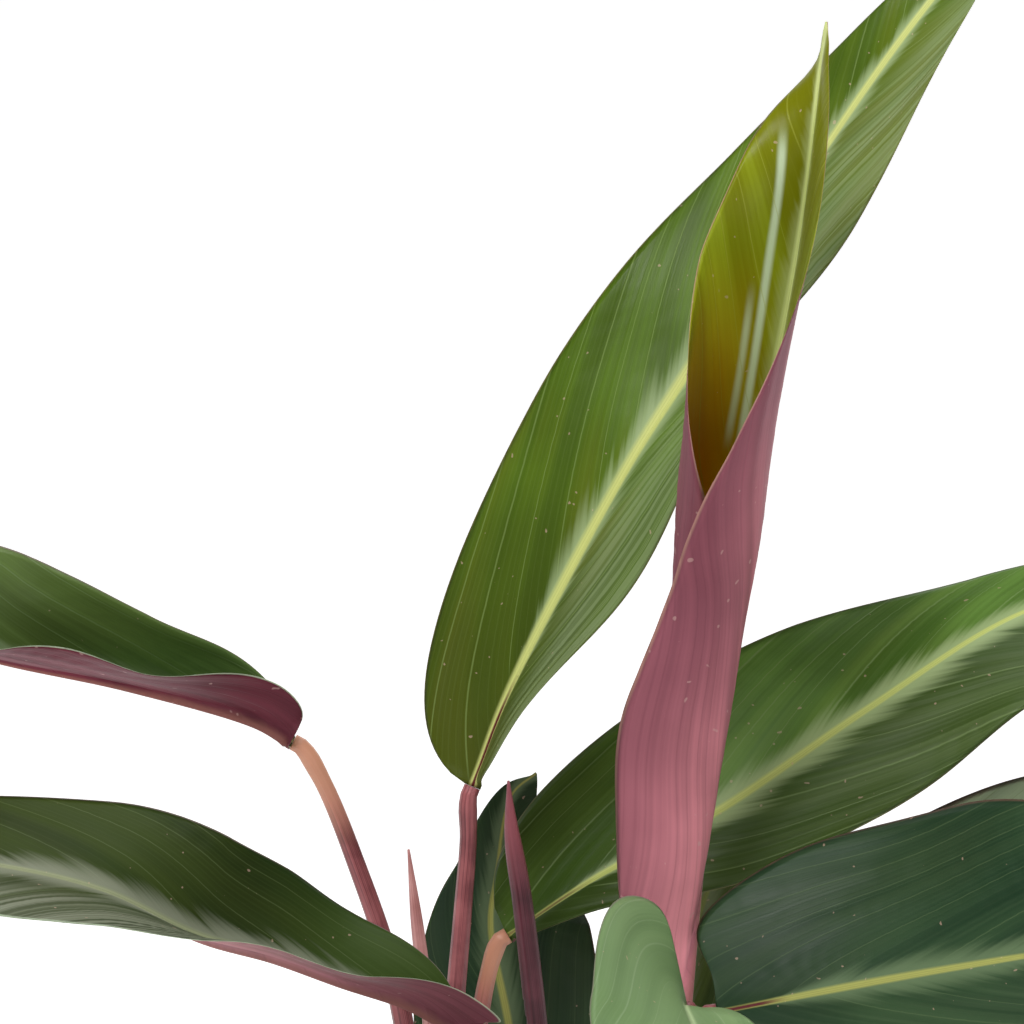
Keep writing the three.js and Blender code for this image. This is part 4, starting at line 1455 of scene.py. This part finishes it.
@dataclass
class Spears:
    """The young leaves that are still rolled up tight.

    Attributes:
        courses: Each one's points, its radii at even stations, mm, and its finish.
        wrap: How many times the lap turns round.
        ridges: How many ridges there are round one.
        ridge_height: Their height as a share of the radius.
        step: Length of a step along one, mm.
    """

    courses: dict[str, tuple[Sequence[Point], Stations, StemFinish]] = field(default_factory=lambda: {
        "spear_tall": (
            ((18, -8, 116), (15, -9, 203), (11, -12, 255), (7, -14, 291), (4, -15, 311), (3, -15, 325)),
            (3.2, 3, 2.8, 2.8, 3, 3.2, 3.3, 3.3, 3.2, 3.1, 2.7, 0.4),
            StemFinish("spear_wine", (0.04, 0.008, 0.013), (0.13, 0.028, 0.042), (0.34, 0.09, 0.11), 0.7),
        ),
        "spear_short": (
            ((-14, -18, 116), (-16, -18, 205), (-19, -18, 256), (-22, -18, 280), (-25, -18, 306)),
            (2.6, 2.5, 2.4, 2.3, 2.3, 2.3, 2.2, 2.1, 1.9, 0.4),
            StemFinish("spear_pink", (0.36, 0.13, 0.12), (0.68, 0.34, 0.32)),
        ),
    })
    wrap: float = 1.4
    ridges: int = 5
    ridge_height: float = 0.02
    step: float = 1.5

    def build(self) -> None:
        """Makes each spear."""
        for name, (points, radii, dress) in self.courses.items():
            Rod(
                f"young_{name}", name, "spear", Path(points), lambda share, r=radii: stations(r, share),
                dress.make(), self.ridges, self.ridge_height, self.wrap, step=self.step,
            ).build()


@dataclass
class Pot:
    """The plain round pot: a tapered wall, a band round the rim and holes in the floor. All sizes in mm."""

    height: float = 150.0
    rim_radius: float = 85.0
    foot_radius: float = 61.0
    wall: float = 2.6
    floor: float = 4.0
    chamfer: float = 3.0
    band_height: float = 17.0
    band_step: float = 2.2
    sides: int = 128
    drain_radius: float = 5.0
    drain_ring: float = 38.0
    drains: int = 5
    drain_sides: int = 32
    sharp_angle: float = 40.0

    def inner(self, z: float) -> float:
        """The inside radius at a height."""
        return self.foot_radius + (self.rim_radius - self.foot_radius) * z / self.height - self.wall

    def outer(self, z: float) -> float:
        """The outside radius of the plain wall at a height."""
        return self.inner(z) + self.wall

    def outline(self) -> list[Pair]:
        """The rounded section from the middle of the underside, round the rim, to the middle of the floor.

        Returns:
            Radius and height of each corner.
        """
        top, seat = self.height, self.floor + self.chamfer
        band = top - self.band_height
        wall, lip, inside = self.outer(band), self.outer(top) + self.band_step, self.inner(top)
        step = wall + self.band_step
        return [
            (0, 0), (self.outer(0) - 2, 0), (self.outer(0) - 0.7, 0.5), (self.outer(2), 2),
            (wall - 0.1, band - 1.5), (wall + 0.5, band - 0.4),
            (step - 0.6, band + 0.3), (step, band + 1.5),
            (lip, top - 1.4), (lip - 0.4, top - 0.4), (lip - 1.3, top), (inside + 0.9, top),
            (inside + 0.2, top - 0.3), (self.inner(top - 1), top - 1), (self.inner(seat), seat),
            (self.inner(self.floor) - self.chamfer, self.floor), (0, self.floor),
        ]

    def build(self) -> Piece:
        """Spins the section, cuts the drain holes and puts the pot in its node's place.

        Returns:
            The piece.
        """
        made = bmesh.new()
        chain = [made.verts.new((r * MM, 0, z * MM)) for r, z in self.outline()]
        edges = [made.edges.new(pair) for pair in zip(chain, chain[1:])]
        bmesh.ops.spin(
            made, geom=[*chain, *edges], axis=(0, 0, 1), cent=(0, 0, 0), angle=2 * math.pi,
            steps=self.sides, use_merge=True,
        )
        bmesh.ops.remove_doubles(made, verts=made.verts, dist=WELD)
        bmesh.ops.recalc_face_normals(made, faces=made.faces)
        piece = piece_from(made, "plain_pot", (PotFinish().make(),))
        self.drill(piece)
        piece.data.set_sharp_from_angle(angle=math.radians(self.sharp_angle))
        stand_in_for(piece, "pot")
        return piece

    def drill(self, piece: Piece) -> None:
        """Cuts the drain holes through the floor.

        Args:
            piece: The pot.
        """
        made = bmesh.new()
        radius, ring = self.drain_radius * MM, self.drain_ring * MM
        for k in range(self.drains):
            angle = 2 * math.pi * k / self.drains
            hole = bmesh.ops.create_cone(
                made, cap_ends=True, segments=self.drain_sides, radius1=radius, radius2=radius,
                depth=4 * self.floor * MM,
            )
            centre = (ring * math.cos(angle), ring * math.sin(angle), 0)
            bmesh.ops.translate(made, verts=hole["verts"], vec=centre)
        cutter = piece_from(made, "drain_cutter", ())
        cut = piece.modifiers.new("drains", "BOOLEAN")
        cut.object = cutter
        cut.operation = "DIFFERENCE"
        whole = bpy.data.meshes.new_from_object(piece.evaluated_get(bpy.context.evaluated_depsgraph_get()))
        piece.modifiers.clear()
        old = piece.data
        piece.data = whole
        bpy.data.meshes.remove(old)
        bpy.data.objects.remove(cutter)


@dataclass
class Soil:
    """The potting mix: a lumpy top that follows the pot's wall, with loose crumbs and pale grit on it.

    Attributes:
        pot: What holds it.
        mound: Twice the rise of its middle, mm.
        lump: Height of the lumps, mm.
        fine: Height of the small unevenness, mm.
        gap: From the pot's wall, mm.
        floor_gap: From the pot's floor, mm.
        rings: Steps from the wall to the middle.
        sides: Steps round it.
        crumbs: How many crumbs lie on it.
        crumb_radii: Their least and greatest radius, mm.
        grits: How many pale grains lie on it.
        grit_radii: Their least and greatest radius, mm.
        shore: How far all of them stay from the edge, mm.
        rarity: The power that makes large ones rarer than small ones.
        perch: How far one's middle lies above the soil, as a share of its radius.
        squash: The least share of the radius that one reaches in a direction.
        spread: How much more than that it may reach.
        chips: How far its corners stick out, as a share.
        seed: Start of the random draws.
    """

    pot: Pot
    mound: float = 4.0
    lump: float = 1.4
    fine: float = 0.8
    gap: float = 0.6
    floor_gap: float = 0.4
    rings: int = 60
    sides: int = 180
    crumbs: int = 1500
    crumb_radii: Pair = (0.7, 2.4)
    grits: int = 150
    grit_radii: Pair = (0.8, 1.7)
    shore: float = 2.5
    rarity: float = 2.2
    perch: float = 0.25
    squash: float = 0.75
    spread: float = 0.5
    chips: float = 0.3
    seed: int = 11

    def rim(self) -> float:
        """The radius of the top, mm."""
        return self.pot.inner(SOIL_LEVEL) - self.gap

    def height(self, x: float, y: float) -> float:
        """The top's height at a place.

        Args:
            x: The place to the right, mm.
            y: The place away from the viewer, mm.

        Returns:
            The height, mm.
        """
        share = min(math.hypot(x, y) / self.rim(), 1)
        lumps = math.sin(0.13 * x + 1.1) * math.cos(0.11 * y - 0.4) + 0.5 * math.sin(0.31 * x - 0.23 * y)
        fine = 0.5 * math.sin(0.9 * x + 1.3 * math.sin(0.6 * y)) * math.cos(0.8 * y + math.sin(0.7 * x))
        lumps = self.lump * lumps * (1 - share**4) + self.fine * fine
        return SOIL_LEVEL + self.mound * (1 - share**2) * 0.5 + lumps

    def build(self) -> None:
        """Makes the packed soil, the crumbs and the grit."""
        earth = SoilFinish().make()
        made = bmesh.new()
        bmesh.ops.create_circle(made, cap_ends=False, segments=self.sides, radius=1.0)
        floor = self.pot.floor
        foot = (self.pot.inner(floor) - self.pot.chamfer - self.gap) * MM
        for vertex in made.verts:
            vertex.co = Vector((vertex.co.x * foot, vertex.co.y * foot, (floor + self.floor_gap) * MM))
        bottom = bmesh.ops.edgenet_fill(made, edges=made.edges)["faces"]
        loop = [edge for face in bottom for edge in face.edges]
        for k in range(self.rings):
            radius = self.rim() * (1 - k / self.rings)
            ring = bmesh.ops.extrude_edge_only(made, edges=loop)["geom"]
            loop = [part for part in ring if isinstance(part, bmesh.types.BMEdge)]
            for vertex in (part for part in ring if isinstance(part, bmesh.types.BMVert)):
                angle = math.atan2(vertex.co.y, vertex.co.x)
                x, y = radius * math.cos(angle), radius * math.sin(angle)
                vertex.co = Vector((x, y, self.height(x, y))) * MM
        bmesh.ops.edgenet_fill(made, edges=loop)
        bmesh.ops.recalc_face_normals(made, faces=made.faces)
        stand_in_for(piece_from(made, "packed_soil", (earth,)), "soil")
        self.scatter("soil_crumbs", self.crumbs, self.crumb_radii, earth)
        self.scatter("soil_grit", self.grits, self.grit_radii, GritFinish().make())

    def scatter(self, name: str, count: int, radii: Pair, material: Material) -> None:
        """Strews small angular grains over the soil.

        Args:
            name: The piece's name.
            count: How many grains.
            radii: Radius of the smallest and the largest, mm.
            material: What they are made of.
        """
        chance = np.random.default_rng(self.seed + count)
        least, most = radii
        reach = self.rim() - self.shore
        made = bmesh.new()
        for _ in range(count):
            radius = least + (most - least) * chance.random() ** self.rarity
            far = reach * math.sqrt(chance.random())
            angle = 2 * math.pi * chance.random()
            x, y = far * math.cos(angle), far * math.sin(angle)
            z = self.height(x, y) + self.perch * radius
            grain = bmesh.ops.create_icosphere(made, subdivisions=1, radius=radius * MM)["verts"]
            stretch = self.squash + self.spread * chance.random(3)
            for vertex in grain:
                vertex.co = Vector(
                    part * (way + self.chips * chance.random()) for part, way in zip(vertex.co, stretch)
                )
            bmesh.ops.translate(made, verts=grain, vec=Vector((x, y, z)) * MM)
        piece = piece_from(made, name, (material,))
        piece.data.shade_flat()
        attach(piece, BODY)
        log.info("%s: %d grains", name, count)


@dataclass
class Studio:
    """A plain pale floor, soft light and the camera.

    Attributes:
        floor_half: Half the floor's side, m.
        floor_tone: The floor's colour.
        floor_glow: How much light the floor gives of its own.
        dim: The surround's brightness at the front and above.
        bright: The surround's brightness low at the back.
        lights: Each light's place, size in metres and power.
        lit: Where the lights aim.
        elevation: The photograph's viewing angle above the level, degrees.
        distance: From the camera to what it looks at, m.
        target: What it looks at.
        lens: Its focal length, mm.
        sensor: The width of its picture, mm.
        clip: The nearest and the farthest that it sees, m.
    """

    floor_half: float = 40.0
    floor_tone: Colour = (0.9, 0.9, 0.9)
    floor_glow: float = 0.75
    dim: float = 0.26
    bright: float = 1.15
    lights: dict[str, tuple[Point, float, float]] = field(default_factory=lambda: {
        "top_light": ((0.15, -0.25, 2.1), 1.3, 18.0),
        "front_light": ((-0.55, -1.6, 2.2), 1.0, 33.0),
    })
    lit: Point = (0.0, 0.0, 0.35)
    elevation: float = 8.0
    distance: float = 1.6
    target: Point = (0.004, 0.0, 0.399)
    lens: float = 200.0
    sensor: float = 36.0
    clip: Pair = (0.05, 200.0)

    def build(self) -> None:
        """Makes the floor, the surround, the lights and the camera."""
        self.lay_floor()
        self.surround()
        self.hang_lights()
        self.place_camera()

    def lay_floor(self) -> None:
        """The plain pale floor."""
        made = bmesh.new()
        bmesh.ops.create_grid(made, x_segments=8, y_segments=8, size=self.floor_half)
        graph = Graph("floor")
        faint = tuple(0.99 * part for part in self.floor_tone)
        tone = graph.mix(graph.noise(graph.position(), 3.0, 1.0), self.floor_tone, faint)
        for key, value in (("Base Color", tone), ("Roughness", 0.8), ("Specular IOR Level", 0.1),
                           ("Emission Color", WHITE), ("Emission Strength", self.floor_glow)):
            graph.feed(graph.shader.inputs[key], value)
        floor = piece_from(made, "floor", (graph.material,))

    def surround(self) -> None:
        """A soft white surround, brighter low at the back."""
        world = bpy.data.worlds.new("studio")
        world.use_nodes = True
        tree = world.node_tree
        parts = tree.nodes.new("ShaderNodeSeparateXYZ")
        tree.links.new(tree.nodes.new("ShaderNodeTexCoord").outputs["Generated"], parts.inputs[0])
        product = tree.nodes.new("ShaderNodeMath")
        product.operation = "MULTIPLY"
        ramps = (("Y", 0.3, 0.8, self.dim, self.bright), ("Z", 0.45, 0.8, 1.0, 0.25))
        for socket, (axis, *numbers) in zip(product.inputs, ramps):
            step = tree.nodes.new("ShaderNodeMapRange")
            step.interpolation_type = "SMOOTHSTEP"
            tree.links.new(parts.outputs[axis], step.inputs[0])
            for place, number in enumerate(numbers, 1):
                step.inputs[place].default_value = number
            tree.links.new(step.outputs[0], socket)
        back = tree.nodes["Background"]
        back.inputs["Color"].default_value = (*WHITE, 1.0)
        tree.links.new(product.outputs[0], back.inputs["Strength"])
        bpy.context.scene.world = world

    def hang_lights(self) -> None:
        """The large soft lights, turned to the plant."""
        for name, (place, size, power) in self.lights.items():
            lamp = bpy.data.lights.new(name, "AREA")
            lamp.shape = "DISK"
            lamp.size = size
            lamp.energy = power
            holder = bpy.data.objects.new(name, lamp)
            holder.location = place
            aim = Vector(self.lit) - Vector(place)
            holder.rotation_euler = aim.to_track_quat("-Z", "Y").to_euler()
            bpy.context.scene.collection.objects.link(holder)

    def place_camera(self) -> None:
        """The camera, at the photograph's viewing angle."""
        lens = bpy.data.cameras.new("camera")
        lens.lens = self.lens
        lens.sensor_width = self.sensor
        lens.clip_start, lens.clip_end = self.clip
        camera = bpy.data.objects.new("camera", lens)
        tilt = math.radians(self.elevation)
        back = Vector((0.0, -math.cos(tilt), math.sin(tilt)))
        camera.location = Vector(self.target) + back * self.distance
        camera.rotation_euler = (-back).to_track_quat("-Z", "Y").to_euler()
        bpy.context.scene.collection.objects.link(camera)
        bpy.context.scene.camera = camera
        bpy.context.scene.view_settings.view_transform = "Standard"


def main() -> None:
    """Builds every sub-assembly in order."""
    logging.basicConfig(level=logging.INFO, format="%(message)s")
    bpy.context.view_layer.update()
    Studio().build()
    pot = Pot()
    pot.build()
    Soil(pot).build()
    Stems().build(LEAVES)
    Spears().build()
    for leaf in LEAVES:
        Blade(leaf).build()
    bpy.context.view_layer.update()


if __name__ == "__main__":
    main()
